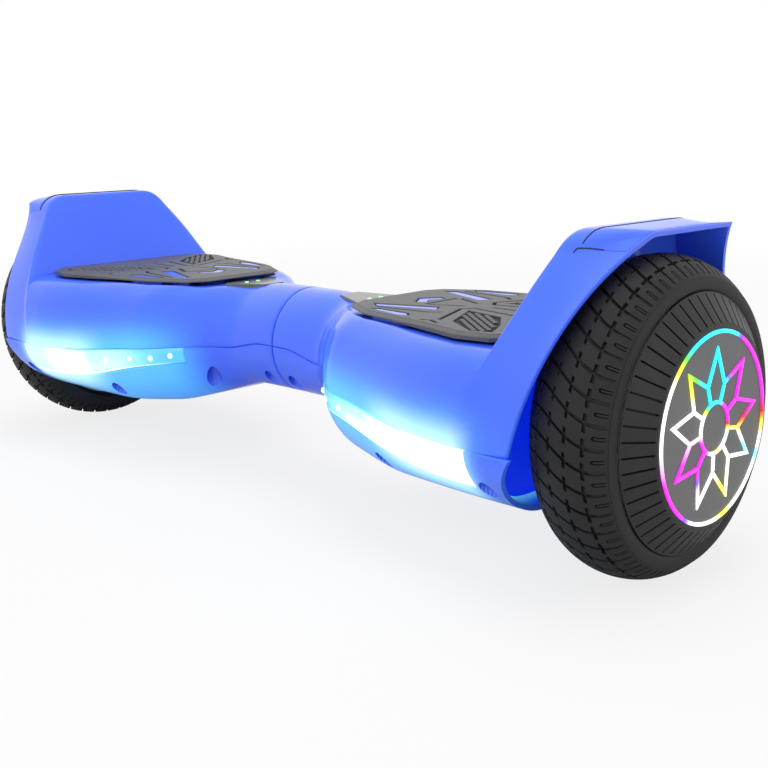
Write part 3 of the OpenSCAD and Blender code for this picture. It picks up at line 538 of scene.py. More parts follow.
def bottomRings():
    # each row: place, cut for the lens, reach of the arch end, drawing in
    x0, x1, lastX = lensForm["x0"], lensForm["x1"], 230.5
    rows = [(x, 0, 0, drawIn) for x, drawIn in mouth]
    rows += [(x, 0, 0, 0) for x in stations(x0 - 2)] + [(x0 - 0.3, 0, 0, 0)]
    for k in range(39):
        x = x0 + (x1 - x0) * k / 38
        rows.append((x, lensDrop(x) + lensForm["fit"], 0, 0))
    rows += [(x1 + 0.3 + (lastX - x1 - 0.3) * k / 5, 0, k / 5, 0) for k in range(6)]
    outer = [lowRing(x, 0, cut, reach, drawIn) for x, cut, reach, drawIn in rows]
    inner = [lowRing(x, body["wall"], cut, reach) for x, cut, reach, drawIn in rows]
    splitChamfer(outer, -0.05)
    return outer, inner


# how the painted headlight glow fades on the shell, over x and over distance from the lens
glowFade = dict(
    above=dict(most=1.0, rise=(56, 100), keep=0.9, fall=(196, 232), far=15),
    below=dict(most=0.9, rise=(54, 84), keep=0.95, fall=(205, 230), far=34),
    hot=dict(most=1.0, rise=(125, 165), keep=1.0, fall=(206, 224), far=10),
)


def fadeAt(f, x, off):
    along = f["most"] * smooth(x, *f["rise"]) * (1 - f["keep"] * smooth(x, *f["fall"]))
    return along * math.exp(-(off / f["far"]) ** 2)


def paintGlow(obj, side):
    # painted glow round the headlight: emission painted on the shell, standing in for the lamp's spill and
    # bloom, fading with distance
    def glowAt(x, y, z):
        x, k, hot = side * x, 0, 0
        if y < -20 and x > 45:
            seam, foot = seamZ(x), bez(lowerCurve(x, 0), lensDrop(x))[1]
            up, down = max(z - seam, 0), max(foot - z, 0)
            k = fadeAt(glowFade["above"], x, up) if z >= seam - 1 else fadeAt(glowFade["below"], x, down)
            hot = fadeAt(glowFade["hot"], x, max(up, down))
        return [min(g * k + w * hot, 1) for g, w in zip(shellLook["glow"], shellLook["hotGlow"])]
    paintPoints(obj, "lampGlow", glowAt)


# shells

wells = dict(
    at=((12, 10.6), (61.5, 10.3), (134, 15.3), (223, 12)),
    bore=10.8, wall=1.0, seat=10, roof=1.5, turn=32, rod=60,
)
rearHoles = dict(socket=(138, 16.2), button=(104, 10.2), y=75, z=101, long=70)


def wellPlaces():
    return [(x, s * (wide(x, 0) - inset)) for x, inset in wells["at"] for s in (-1, 1)]


def bellyAt(x, y):
    # height of the bottom shell's outer face below a place
    curve, low, high = lowerCurve(x, 0), 0.0, 1.0
    if abs(y) <= curve[3][0]:
        return curve[3][1]
    for k in range(24):
        mid = (low + high) / 2
        low, high = (mid, high) if bez(curve, mid)[0] > abs(y) else (low, mid)
    return bez(curve, low)[1]


def bored(obj, rods):
    # cuts round holes: each rod as centre, direction, radius and length
    mesh = bpy.data.meshes.new("boreCutter")
    bm = bmesh.new()
    for at, way, r, long in rods:
        turn = Vector((0, 0, 1)).rotation_difference(Vector(way)).to_matrix().to_4x4()
        where = Matrix.Translation([c / 1000 for c in at]) @ turn
        sizes = dict(radius1=r / 1000, radius2=r / 1000, depth=long / 1000)
        bmesh.ops.create_cone(bm, cap_ends=True, segments=48, matrix=where, **sizes)
    bm.to_mesh(mesh)
    bm.free()
    cutter = linked("boreCutter", mesh)
    cut = obj.modifiers.new("bores", "BOOLEAN")
    cut.operation, cut.solver, cut.object = "DIFFERENCE", "EXACT", cutter
    made = asMesh(obj, obj.name, blueShell, 38)
    bpy.data.objects.remove(cutter)
    return made


def wellCups(sideName, side):
    # lined wells that rise from the bottom shell to the screw heads
    n, points, faces = wells["turn"], [], []
    r, outR = wells["bore"] / 2, wells["bore"] / 2 + wells["wall"]
    for x, y in wellPlaces():
        seat = seamZ(x) - wells["seat"]
        roof = seat + wells["roof"]
        faces += ringFaces(6, n, len(points), True)
        rows = ((outR, 0.7, None), (outR, 0, roof), (0.4, 0, roof))
        rows += ((0.4, 0, seat), (r, 0, seat), (r, 0.25, None))
        for radius, drop, top in rows:
            for c, q in circle(n):
                px, py = x + radius * c, y + radius * q
                points.append((px, py, top or min(bellyAt(px, py) + drop, seat - 0.5)))
    cups = solidPiece(sideName + "ScrewWells", points, faces, blueShell, side, 30)
    place(cups, sideName + "_half", sideName + "_bottom_shell")


capForm = dict(
    u0=0.33, u1=0.95, front=45.5, rear=57, slant=21, rise=0.45, border=0.15, line=0.38,
    hook0=0.29, hook1=0.64, hookFoot=(-0.8, -1.8, -1.7),
)


def crossing(ring, y):
    # place along a ring, counted from its first point, where it passes a distance to the front or rear
    i, step = len(ring) // 2, -1 if y < 0 else 1
    while abs(ring[i + step][1]) < abs(y):
        i += step
    p, q = ring[i], ring[i + step]
    return i + step * (abs(y) - abs(p[1])) / (abs(q[1]) - abs(p[1]))


def capGrid(sideName, u0, u1, rows, cols=44):
    # places over the fender's top, its front end cut aslant
    f, grid = capForm, []
    b, c = bandInner(0), bandOuter(sideName, 0)
    for k in range(rows + 1):
        u = u0 + (u1 - u0) * k / rows
        ring = archRings(b, c, u)
        start, end = crossing(ring, -f["front"] + f["slant"] * (u - f["u0"])), crossing(ring, f["rear"])
        spots = [start + (end - start) * j / cols for j in range(cols + 1)]
        grid.append([Vector(lerp(ring[int(t)], ring[int(t) + 1], t - int(t))) for t in spots])
    return grid


def capSkin(grid):
    rows, cols = len(grid) - 1, len(grid[0]) - 1
    outer, inner = [], []
    for k, row in enumerate(grid):
        rowOut, rowIn = [], []
        for j, p in enumerate(row):
            along = row[min(j + 1, cols)] - row[max(j - 1, 0)]
            across = grid[min(k + 1, rows)][j] - grid[max(k - 1, 0)][j]
            n = along.cross(across).normalized()
            n = n if n.z > 0 else -n
            border = k in (0, rows) or j in (0, cols)
            rowOut.append(tuple(p + n * capForm["border" if border else "rise"]))
            rowIn.append(tuple(p + n * 0.03))
        outer.append(rowOut)
        inner.append(rowIn)
    return thickSkin(outer, inner)


def fineLines(name, paths, r, material, side):
    # thin round black lines that stand in for the shadow in joint gaps: painted shadow
    curve = bpy.data.curves.new(name, "CURVE")
    curve.dimensions, curve.use_fill_caps = "3D", True
    curve.bevel_depth, curve.bevel_resolution = r / 1000, 1
    for path in paths:
        line = curve.splines.new("POLY")
        line.points.add(len(path) - 1)
        for p, (x, y, z) in zip(line.points, path):
            p.co = (side * x / 1000, side * y / 1000, z / 1000, 1)
    return asMesh(linked(name + "Curve", curve), name, material, 60)


def fenderCap(sideName, side):
    # inset strip along the fender's top; a thin black line along its inner side and round a hook at its front
    # stands in for the shadow in the joint's gap, a painted shadow
    f = capForm
    grid = capGrid(sideName, f["u0"], f["u1"], 12)
    cap = solidPiece(sideName + "FenderCap", *capSkin(grid), blueShell, side, 50, True)
    paintGlow(cap, side)
    up = Vector((0, 0, 0.3))
    hook = [row[0] for row in capGrid(sideName, f["hook0"], f["hook1"], 8)]
    paths = [[p + up for p in grid[0][2:]], [hook[0] + Vector(f["hookFoot"])] + [p + up * 0.5 for p in hook]]
    jointShadow = fineLines(sideName + "CapJoint", paths, f["line"], finish["blackPlastic"], side)
    for piece in (cap, jointShadow):
        place(piece, sideName + "_half", sideName + "_fender_cap")


for sideName, side in sides:
    fenderCap(sideName, side)
    top = solidPiece(sideName + "TopShell", *thickSkin(*topRings(sideName)), blueShell, side, 38, True)
    if side > 0:
        h = rearHoles
        holes = (h["socket"], h["button"])
        top = bored(top, [((x, h["y"], h["z"]), (0, 1, 0), r, h["long"]) for x, r in holes])
    bottom = solidPiece(sideName + "BottomShell", *thickSkin(*bottomRings()), blueShell, side, 38)
    long, r = wells["rod"], wells["bore"] / 2
    spots = [(side * x, y, seamZ(x) - wells["seat"] - long / 2) for x, y in wellPlaces()]
    bottom = bored(bottom, [(spot, (0, 0, 1), r, long) for spot in spots])
    for shell, node in ((top, "_top_shell"), (bottom, "_bottom_shell")):
        paintGlow(shell, side)
        place(shell, sideName + "_half", sideName + node)
    wellCups(sideName, side)
print("shells made")


# repeats, at marked places or round the axle

def repeatTree(name, **inputs):
    # node group with a geometry input and output beside the named inputs
    tree = bpy.data.node_groups.new(name, "GeometryNodeTree")
    socket = tree.interface.new_socket
    socket("Geometry", in_out="INPUT", socket_type="NodeSocketGeometry")
    keys = {}
    for key, kind in inputs.items():
        keys[key] = socket(key, in_out="INPUT", socket_type="NodeSocket" + kind).identifier
    socket("Geometry", in_out="OUTPUT", socket_type="NodeSocketGeometry")
    return tree, keys, addNode(tree, "NodeGroupInput").outputs


def endTree(tree, points, shape, euler, material, weld=0):
    # copies of the shape on the points, made real, welded where asked, and painted
    turn = addNode(tree, "FunctionNodeEulerToRotation")
    copies = addNode(tree, "GeometryNodeInstanceOnPoints")
    wire(
        tree, (euler, turn.inputs["Euler"]), (turn.outputs["Rotation"], copies.inputs["Rotation"]),
        (points, copies.inputs["Points"]), (shape, copies.inputs["Instance"]),
    )
    chain = [copies, addNode(tree, "GeometryNodeRealizeInstances")]
    if weld:
        chain.append(addNode(tree, "GeometryNodeMergeByDistance", {"Distance": weld}))
    chain.append(addNode(tree, "GeometryNodeSetMaterial", {"Material": material}))
    chain.append(addNode(tree, "NodeGroupOutput"))
    for a, b in zip(chain, chain[1:]):
        wire(tree, (a.outputs[0], b.inputs["Geometry"]))


def repeated(name, mesh, tree, values, material, sharp):
    obj = linked(name + "Source", mesh)
    mod = obj.modifiers.new("repeat", "NODES")
    mod.node_group = tree
    for key, value in values.items():
        mod[key] = value
    return asMesh(obj, name, material, sharp)


def scattered(name, points, faces, spots, turn, material, side, sharp=30):
    # loose points marked "spot" each carry a copy of the faces beside them
    tree, keys, given = repeatTree(name + "Tree", Turn="Vector")
    mark = addNode(tree, "GeometryNodeInputNamedAttribute", {"Name": "spot"}, data_type="BOOLEAN")
    part = addNode(tree, "GeometryNodeSeparateGeometry", domain="POINT")
    wire(
        tree, (given["Geometry"], part.inputs["Geometry"]),
        (mark.outputs["Attribute"], part.inputs["Selection"]),
    )
    endTree(tree, part.outputs["Selection"], part.outputs["Inverted"], given["Turn"], material)
    mesh = meshOf(name + "Source", list(points) + list(spots), faces)
    layer = mesh.attributes.new("spot", "BOOLEAN", "POINT")
    layer.data.foreach_set("value", [False] * len(points) + [True] * len(spots))
    made = repeated(name, mesh, tree, {keys["Turn"]: turn}, material, sharp)
    if side < 0:
        made.data.transform(Matrix.Scale(-1, 4, (1, 0, 0)))
    faceOut(made.data)
    return made


def turnedRepeat(name, points, faces, count, material, side, sharp):
    # one sector drawn on the right wheel, repeated round its axle
    tree, keys, given = repeatTree(name + "Tree", Count="Int", Centre="Vector")
    away = addNode(tree, "ShaderNodeVectorMath", operation="SCALE")
    setSockets(away, {"Scale": -1})
    shift = addNode(tree, "GeometryNodeTransform")
    dots = addNode(tree, "GeometryNodePoints")
    share = addNode(tree, "ShaderNodeMath", {0: 2 * math.pi}, operation="DIVIDE")
    angle = addNode(tree, "ShaderNodeMath", operation="MULTIPLY")
    euler = addNode(tree, "ShaderNodeCombineXYZ")
    wire(
        tree, (given["Centre"], away.inputs[0]), (given["Geometry"], shift.inputs["Geometry"]),
        (away.outputs["Vector"], shift.inputs["Translation"]), (given["Count"], dots.inputs["Count"]),
        (given["Centre"], dots.inputs["Position"]), (given["Count"], share.inputs[1]),
        (addNode(tree, "GeometryNodeInputIndex").outputs["Index"], angle.inputs[0]),
        (share.outputs["Value"], angle.inputs[1]), (angle.outputs["Value"], euler.inputs["X"]),
    )
    endTree(tree, dots.outputs[0], shift.outputs["Geometry"], euler.outputs["Vector"], material, 0.00002)
    mesh = meshOf(name + "Source", points, faces, side)
    if side < 0:
        mesh.flip_normals()
    values = {keys["Count"]: count, keys["Centre"]: (0, 0, axleZ / 1000)}
    made = repeated(name, mesh, tree, values, material, sharp)
    faceOut(made.data)
    return made


def wheelPoint(s, r, turn):
    # s outwards from the wheel's centre plane, turn upwards from the front
    return (body["wheelX"] + s, -r * math.cos(turn), axleZ + r * math.sin(turn))


# headlights

lensLook = dict(
    white=(0.95, 1.0, 1.0), milky=(0.30, 0.72, 0.92), deep=(0.06, 0.32, 0.72),
    line=(0.10, 0.42, 0.60), shade=(0.09, 0.36, 0.88),
    dots=((78, 0.10), (89, 0.12), (106, 0.12), (129, 0.14)), dotR=1.9, dotColour=(0.8, 1, 1),
    # where the bright stretch starts and ends along the lens, and how far it runs on low down
    hot=dict(left=(0.50, 0.62, 0.70, 0.86, 0.12), right=(0.38, 0.6, 0.97, 1.1, 0.5)),
)


def dome(r, n=12):
    # low lamp dome that looks forwards
    points = []
    for radius, rise in ((1, -0.2), (0.9, 0.3), (0.5, 0.62)):
        points += [(x, -r * rise, z) for x, z in circle(n, r * radius)]
    return points, ringFaces(3, n) + [tuple(range(2 * n, 3 * n)), tuple(range(n - 1, -1, -1))]


def lensPoint(x, inset, t):
    p = bez(lowerCurve(x, inset), t)
    return (x, -p[0], p[1])


def lensColour(along, down, span):
    look = lensLook
    base = lerp(look["deep"], look["milky"], smooth(along, 0.03, 0.38))
    rise, fall = smooth(along, span[0], span[1]), smooth(along, span[2], span[3])
    hot = rise * (1 - 0.9 * fall) * math.exp(-((down - 0.55) / 0.55) ** 2)
    hot += span[4] * smooth(along, 0.22, 0.36) * (1 - fall) * math.exp(-((down - 0.72) / 0.2) ** 2)
    colour = lerp(base, look["white"], min(1, 1.35 * hot))
    upper = (1 - smooth(down, 0.12, 0.34)) * (1 - smooth(along, 0.08, 0.42))
    colour = lerp(colour, look["shade"], 0.75 * upper)
    top = (1 - smooth(down, 0.03, 0.12)) * smooth(along, 0.1, 0.25) * (1 - smooth(along, 0.62, 0.75))
    colour = lerp(colour, look["line"], 0.7 * top)
    return lerp(colour, look["white"], 0.8 * smooth(down, 0.92, 0.96) * smooth(along, 0.02, 0.1))


def headlight(sideName, side):
    f = lensForm
    x0, x1 = f["x0"] + f["endGap"], f["x1"] - f["endGap"]
    def grid(inset):
        rings = []
        for i in range(f["cols"] + 1):
            x = x0 + (x1 - x0) * i / f["cols"]
            long = lensDrop(x) - 2 * f["margin"]
            spots = [f["margin"] + long * j / f["rows"] for j in range(f["rows"] + 1)]
            rings.append([lensPoint(x, inset, t) for t in spots])
        return rings
    def colourAt(x, y, z):
        x = side * x
        t = min(max((seamZ(x) - z) / max(seamZ(x) - lensPoint(x, 0, lensDrop(x))[2], 1), 0), 1)
        return lensColour((x - x0) / (x1 - x0), t, lensLook["hot"][sideName])
    skin = thickSkin(grid(f["sunk"]), grid(f["thick"]))
    lens = solidPiece(sideName + "HeadlightLens", *skin, finish["headlightLens"], side)
    paintPoints(lens, "lineColour", colourAt)
    spots = [lensPoint(x, 0.1, t) for x, t in lensLook["dots"]]
    shape = dome(lensLook["dotR"])
    dots = scattered(sideName + "LampDots", *shape, spots, (0, 0, 0), finish["lampDots"], side)
    paintPoints(dots, "lineColour", lambda x, y, z: lensLook["dotColour"])
    for piece in (lens, dots):
        place(piece, sideName + "_half", sideName + "_headlight_lens")


for sideName, side in sides:
    headlight(sideName, side)
print("headlights made")


# tyre

tyre = dict(
    halfWidth=26.5, beadR=64.05, outR=84, blocks=44, depth=2.0, sweep=0.78, phase=-0.1, treadEnd=21.2,
    lines=((-13.2, 0.39), (-4.4, 0.275), (4.4, 0.325), (13.2, 0.39)), loopFrom=17.6, loopR=0.75,
    # cuts over half a block, close together where the grooves, dashes and loops end
    cuts=(0.054, 0.08, 0.15, 0.245, 0.275, 0.295, 0.325, 0.36, 0.39, 0.405, 0.42, 0.446, 0.462, 0.5),
    inner=((12, 64.05), (4, 64.05), (-4, 64.05), (-12, 64.05), (-20, 64.05), (-24.5, 66.05), (-26.1, 67.2)),
    rim=((22.9, 74.2), (23.3, 73.0), (23.6, 70.5), (23.5, 68.2), (23.0, 67.1), (22.8, 66.95), (20, 64.05)),
)
tyrePitch = 2 * math.pi * 82 / tyre["blocks"]


def crownPoint(s):
    a = math.acos(s / tyre["halfWidth"])
    return (s, tyre["beadR"] + (tyre["outR"] - tyre["beadR"]) * math.sin(a) ** 1.05)


def sweepAt(s):
    # the cross grooves run in an S, counted in blocks
    return tyre["sweep"] * math.sin(math.pi * min(max(s, -20), 20) / 40)


def treadDepth(s, part):
    # part runs over one block, with the cross groove at 0
    ends = 1 - smooth(abs(s), tyre["treadEnd"], tyre["treadEnd"] + 0.7)
    cut = ends * (1 - 0.6 * smooth(abs(s), 13.5, 17)) * (1 - smooth(abs(part) * tyrePitch, 0.6, 0.9))
    for line, reach in tyre["lines"]:
        cut = max(cut, (1 - smooth(abs(part), reach - 0.03, reach)) * (1 - smooth(abs(s - line), 0.45, 0.85)))
    if abs(s) > tyre["loopFrom"] - 1.6:
        away = math.hypot(min(abs(s) - tyre["loopFrom"], 0), (0.5 - abs(part)) * tyrePitch)
        off = abs(away - tyre["loopR"])
        cut = max(cut, 0.5 * ends * (1 - smooth(off, 0.14, 0.32)))
    return cut * tyre["depth"]


def treadRows():
    # rows close together beside the dashed lines and the loops
    marks = [-25.6, 22.7, 21.2, 21.9, -21.2, -21.9]
    marks += [line + d for line, reach in tyre["lines"] for d in (-0.85, -0.45, 0.45, 0.85)]
    marks += [sign * (tyre["loopFrom"] + d) for sign in (-1, 1) for d in (-1.07, -0.89, -0.61, -0.43, 0)]
    marks.sort()
    rows = [marks[0]]
    for a, b in zip(marks, marks[1:]):
        parts = max(1, round((b - a) / 1.5))
        rows += [a + (b - a) * (k + 1) / parts for k in range(parts)]
    return rows


def tyreProfile():
    # closed section as (s, r, tread normal or None)
    out = [(s, r, None) for s, r in tyre["inner"]]
    for s in treadRows():
        a, b = crownPoint(s - 0.01), crownPoint(s + 0.01)
        n = math.hypot(b[0] - a[0], b[1] - a[1])
        out.append((*crownPoint(s), ((a[1] - b[1]) / n, (b[0] - a[0]) / n)))
    return out + [(s, r, None) for s, r in tyre["rim"]]


def tyreSector():
    profile, points = tyreProfile(), []
    parts = [-h for h in reversed(tyre["cuts"])] + [0] + list(tyre["cuts"])
    for part in parts:
        for s, r, normal in profile:
            turn = (part - sweepAt(s) + tyre["phase"]) * 2 * math.pi / tyre["blocks"]
            if normal:
                d = treadDepth(s, part)
                s, r = s - normal[0] * d, r - normal[1] * d
            points.append(wheelPoint(s, r, turn))
    return points, ringFaces(len(parts), len(profile))


for sideName, side in sides:
    piece = turnedRepeat(sideName + "Tyre", *tyreSector(), tyre["blocks"], finish["tyreRubber"], side, 40)
    place(piece, sideName + "_wheel", sideName + "_tyre")
print("tyres made")


# ribbed hub cover

hubCover = dict(
    ribs=52, slot=0.42, deep=1.9, outR=66.7, outS=23.45, inR=52, inS=34, thick=2.4,
    slotFrom=0.08, slotTo=0.96,
)


def coverSector():
    h = hubCover
    pitch = 2 * math.pi / h["ribs"]
    # profile from the seat, over the cone, to the underside of the rim; the last value marks the slotted part
    profile = [(23.5, 58, 0), (h["outS"] - 0.05, 62, 0)]
    profile += [(h["outS"] - 0.05, h["outR"] - 0.5, 0), (h["outS"] + 0.3, h["outR"], 0)]
    slope = (h["inS"] - h["outS"], h["inR"] - h["outR"])
    for k in [0.02, 0.06, 0.1, 0.14] + [0.2 + 0.1 * i for i in range(8)] + [0.94, 0.985]:
        slot = int(h["slotFrom"] < k < h["slotTo"])
        profile.append((h["outS"] + slope[0] * k, h["outR"] + slope[1] * k, slot))
    profile += [(h["inS"] - 0.25, h["inR"] - 0.15, 0), (h["inS"], h["inR"] - 0.6, 0), (h["inS"], 49.2, 0)]
    profile += [(h["inS"] - h["thick"], 49.1, 0), (25.0, 56, 0)]
    size = math.hypot(*slope)
    normal = (-slope[1] / size, slope[0] / size)
    # share of the pitch, slot widths beside it, and whether the slot is cut there
    angles = [(0.0, 0, 0), (0.25, 0, 0), (0.5, -1.35, 0), (0.5, -0.9, 1)]
    angles += [(0.5, 0.9, 1), (0.5, 1.35, 0), (0.75, 0, 0), (1.0, 0, 0)]
    points = []
    for share, beside, cut in angles:
        for s, r, slot in profile:
            d = h["deep"] * cut * slot
            turn = pitch * share + beside * h["slot"] / r
            points.append(wheelPoint(s - normal[0] * d, r - normal[1] * d, turn))
    return points, ringFaces(len(angles), len(profile))


for sideName, side in sides:
    sector, black = coverSector(), finish["ribbedCover"]
    piece = turnedRepeat(sideName + "HubCover", *sector, hubCover["ribs"], black, side, 30)
    place(piece, sideName + "_wheel", sideName + "_hub_cover")
print("hub covers made")


# hub disc's lit lines

red, pink, violet, cyan = (0.85, 0.02, 0.03), (0.85, 0.02, 0.75), (0.12, 0.05, 0.8), (0.02, 0.85, 0.9)
hubArt = dict(
    faceS=34, ringR=48.3, lineW=1.9, tall=1.0, points=9, out=39, inside=23, core=13,
    # colours round the disc, in degrees
    stops=(
        (0, red), (14, pink), (58, pink), (64, violet), (70, cyan), (118, cyan), (126, (0.1, 0.8, 0.05)),
        (136, (0.9, 0.85, 0.02)), (148, (0.95, 0.93, 0.8)), (182, (0.95, 0.93, 0.9)), (192, (0.85, 0.4, 0.8)),
        (204, pink), (232, pink), (238, violet), (246, (0.93, 0.8, 0.93)), (270, (0.95, 0.95, 0.93)),
        (284, (0.95, 0.83, 0.02)), (296, (0.95, 0.93, 0.75)), (322, (0.95, 0.95, 0.93)),
        (334, (0.2, 0.8, 0.8)), (340, (0.95, 0.95, 0.93)), (352, (0.95, 0.7, 0.05)), (360, red),
    ),
)


def lineStrip(path, width, closed):
    # flat strip along a path, as left and right edges
    n, left, right = len(path), [], []
    for i in range(n):
        p = path[i]
        a = path[(i - 1) % n] if closed or i > 0 else p
        b = path[(i + 1) % n] if closed or i < n - 1 else p
        runs = [(q[0] - o[0], q[1] - o[1]) for o, q in ((a, p), (p, b))]
        units = [(d[0] / math.hypot(*d), d[1] / math.hypot(*d)) for d in runs if math.hypot(*d) > 1e-6]
        u = units[0] if len(units) == 1 else (units[0][0] + units[1][0], units[0][1] + units[1][1])
        m = math.hypot(*u)
        u = (u[0] / m, u[1] / m)
        k = width / 2 / max(0.35, abs(u[0] * units[0][0] + u[1] * units[0][1]))
        left.append((p[0] - u[1] * k, p[1] + u[0] * k))
        right.append((p[0] + u[1] * k, p[1] - u[0] * k))
    return left, right


def lineColourAt(h, v):
    turn = math.degrees(math.atan2(v, h)) % 360
    for (a, ca), (b, cb) in zip(hubArt["stops"], hubArt["stops"][1:]):
        if a <= turn <= b:
            return lerp(ca, cb, smooth(turn, a, b))
    return red


def artPaths():
    # ring, star, core and the spokes between the star's points, each with whether it is closed
    h, star, spokes = hubArt, [], []
    def at(r, k):
        turn = math.pi * k / h["points"] + math.pi / 2
        return (r * math.cos(turn), r * math.sin(turn))
    corners = [at(h["inside"] if k % 2 else h["out"], k) for k in range(2 * h["points"])]
    for p, q in zip(corners, corners[1:] + corners[:1]):
        star += [lerp(p, q, k / 5) for k in range(5)]
    for k in range(h["points"]):
        spokes.append(([at(r, 2 * k + 1) for r in (h["core"] + 1.2, 18, h["inside"] - 1.2)], False))
    return [(circle(120, h["ringR"]), True), (star, True), (circle(48, h["core"]), True)] + spokes


def hubLines(sideName, side):
    points, faces = [], []
    x0, x1 = body["wheelX"] + hubArt["faceS"] + 0.02, body["wheelX"] + hubArt["faceS"] + hubArt["tall"]
    for path, closed in artPaths():
        base, n = len(points), len(path)
        for l, r in zip(*lineStrip(path, hubArt["lineW"], closed)):
            inL, inR = lerp(l, r, 0.15), lerp(r, l, 0.15)
            for (h, v), x in ((l, x0), (l, x1 - 0.3), (inL, x1), (inR, x1), (r, x1 - 0.3), (r, x0)):
                points.append((x, side * h, axleZ + v))
        faces += ringFaces(n, 6, base, closed)
        if not closed:
            faces += [tuple(end + k for k in range(6)) for end in (base, base + (n - 1) * 6)]
    piece = solidPiece(sideName + "HubLines", points, faces, finish["hubLines"], side)
    paintPoints(piece, "lineColour", lambda x, y, z: lineColourAt(side * y, z - axleZ))
    place(piece, sideName + "_wheel", sideName + "_hub_light")


for sideName, side in sides:
    hubLines(sideName, side)
print("hub lines made")


# foot pads

def flipped(path):
    return [(x, -y) for x, y in path]


def area(path):
    return sum(a[0] * b[1] - b[0] * a[1] for a, b in zip(path, path[1:] + path[:1])) / 2


def facingUp(path):
    return path if area(path) > 0 else path[::-1]


def grown(path, by):
    # closed polygon moved outwards by a set distance, mitred
    path, out = facingUp(path), []
    for i, p in enumerate(path):
        a, b = path[i - 1], path[(i + 1) % len(path)]
        n1 = Vector((p[1] - a[1], a[0] - p[0])).normalized()
        n2 = Vector((b[1] - p[1], p[0] - b[0])).normalized()
        m = (n1 + n2).normalized()
        k = by / max(0.4, m.dot(n1))
        out.append((p[0] + m.x * k, p[1] + m.y * k))
    return out


def inside(p, path):
    hit = False
    for a, b in zip(path, path[1:] + path[:1]):
        if (a[1] > p[1]) != (b[1] > p[1]) and p[0] < (b[0] - a[0]) * (p[1] - a[1]) / (b[1] - a[1]) + a[0]:
            hit = not hit
    return hit


def sheetPiece(name, outline, holes, low, high, bevel, material, side):
    # flat plate with holes, bevelled along the upper edges
    paths = [facingUp(path) for path in [outline] + holes]
    upper = [grown(path, bevel if k else -bevel) for k, path in enumerate(paths)]
    count = sum(len(path) for path in paths)
    rows = ((paths, low), (paths, high - bevel), (upper, high))
    points = [(x, y, z) for rings, z in rows for ring in rings for x, y in ring]
    edges, faces, start = [], [], 0
    for k, path in enumerate(paths):
        for j in range(len(path)):
            a, b = start + j, start + (j + 1) % len(path)
            edges.append((a, b))
            if k:
                a, b = b, a
            faces += [(a + h, b + h, b + h + count, a + h + count) for h in (0, count)]
        start += len(path)
    for rings, first in ((paths, 0), (upper, 2 * count)):
        flat = [Vector(p) for ring in rings for p in ring]
        _, _, fill, known, _, _ = geometry.delaunay_2d_cdt(flat, edges, [], 1, 1e-6)
        for face in fill:
            ids = [known[v][0] for v in face]
            middle = sum((flat[v] for v in ids), Vector((0, 0))) / 3
            if inside(middle, rings[0]) and not any(inside(middle, hole) for hole in rings[1:]):
                faces.append(tuple(first + v for v in (ids if first else ids[::-1])))
    return solidPiece(name, points, faces, material, side, 25)


pad = dict(z=125.9, lift=1.8, thick=3.8, chamfer=3.0, groove=2.4, layer=1.2, ribSunk=0.4)
padTop = pad["z"] + pad["thick"]
padOutline = facingUp(padPlan + flipped(padPlan)[::-1])
frontSlots = [
    [(103, -46.4), (131, -52.5), (138.5, -50), (132, -44), (107, -42.4)],
    [(91, -31), (131, -17), (136, -25), (98, -36.5)],
]
middleSlot = [(98, 0), (106, -12), (113.5, -9), (107.5, 0), (113.5, 9), (106, 12)]
padSlots = frontSlots + [flipped(s) for s in frontSlots] + [middleSlot]
frontGrooves = [
    [(101, -39.2), (138, -35.4), (145, -30.5)],
    [(152, -56), (158, -54), (166, -58)],
    [(160, -50), (145, -15), (150, -8.5), (183, -14.5)],
    [(120, -14.5), (140, -6)],
]
middleGrooves = [[(117, -14), (117, 14)], [(156, 0), (184, 0)]]
padPatch = [(152, -16), (180, -22), (196, -42), (206, -61), (195, -65), (168, -48)]
padBrick = dict(long=3.8, wide=2.6, gap=1.3, bevel=0.4, rim=2.2, lean=-38)


def grooveShape(path):
    left, right = lineStrip(path, pad["groove"], False)
    return left + right[::-1]


def padSkirt(name, side):
    # upright wall and broad chamfer round the pad; its lower edge clears the shell's raised lip when pressed
    thick, inner = pad["thick"], grown(padOutline, -pad["chamfer"] - 1.5)
    points = [(x, y, pad["z"] + (lipEnd(x) + 0.15)) for x, y in padOutline]
    rows = ((padOutline, thick - 1.6), (grown(padOutline, -1.0), thick - 1.0),
            (grown(padOutline, -pad["chamfer"]), thick - 0.35), (inner, thick - 0.9), (inner, pad["lift"]))
    for path, h in rows:
        points += [(x, y, pad["z"] + h) for x, y in path]
    return solidPiece(name, points, ringFaces(6, len(padOutline), 0, True), finish["padRubber"], side, 20)


def bricks(sideName, side, end, path):
    # staggered rows of small bricks inside a patch
    b, points, spots = padBrick, [], []
    for grow, h in ((0, -pad["layer"]), (0, -0.35), (-b["bevel"], 0)):
        u, v = b["long"] / 2 + grow, b["wide"] / 2 + grow
        points += [(-u, -v, h), (u, -v, h), (u, v, h), (-u, v, h)]
    faces = ringFaces(3, 4) + [(8, 9, 10, 11), (3, 2, 1, 0)]
    small = grown(path, -b["rim"])
    lean = math.radians(b["lean"]) * (-1 if path[0][1] > 0 else 1)
    cx, cy = sum(p[0] for p in path) / len(path), sum(p[1] for p in path) / len(path)
    for i in range(-10, 11):
        for j in range(-10, 11):
            u, v = (i + 0.5 * (j % 2)) * (b["long"] + b["gap"]), j * (b["wide"] + b["gap"])
            c = (cx + u * math.cos(lean) - v * math.sin(lean), cy + u * math.sin(lean) + v * math.cos(lean))
            if inside(c, small):
                spots.append((*c, padTop))
    name, black = f"{sideName}PadBricks{end}", finish["padRubber"]
    return scattered(name, points, faces, spots, (0, 0, lean), black, side, 20)


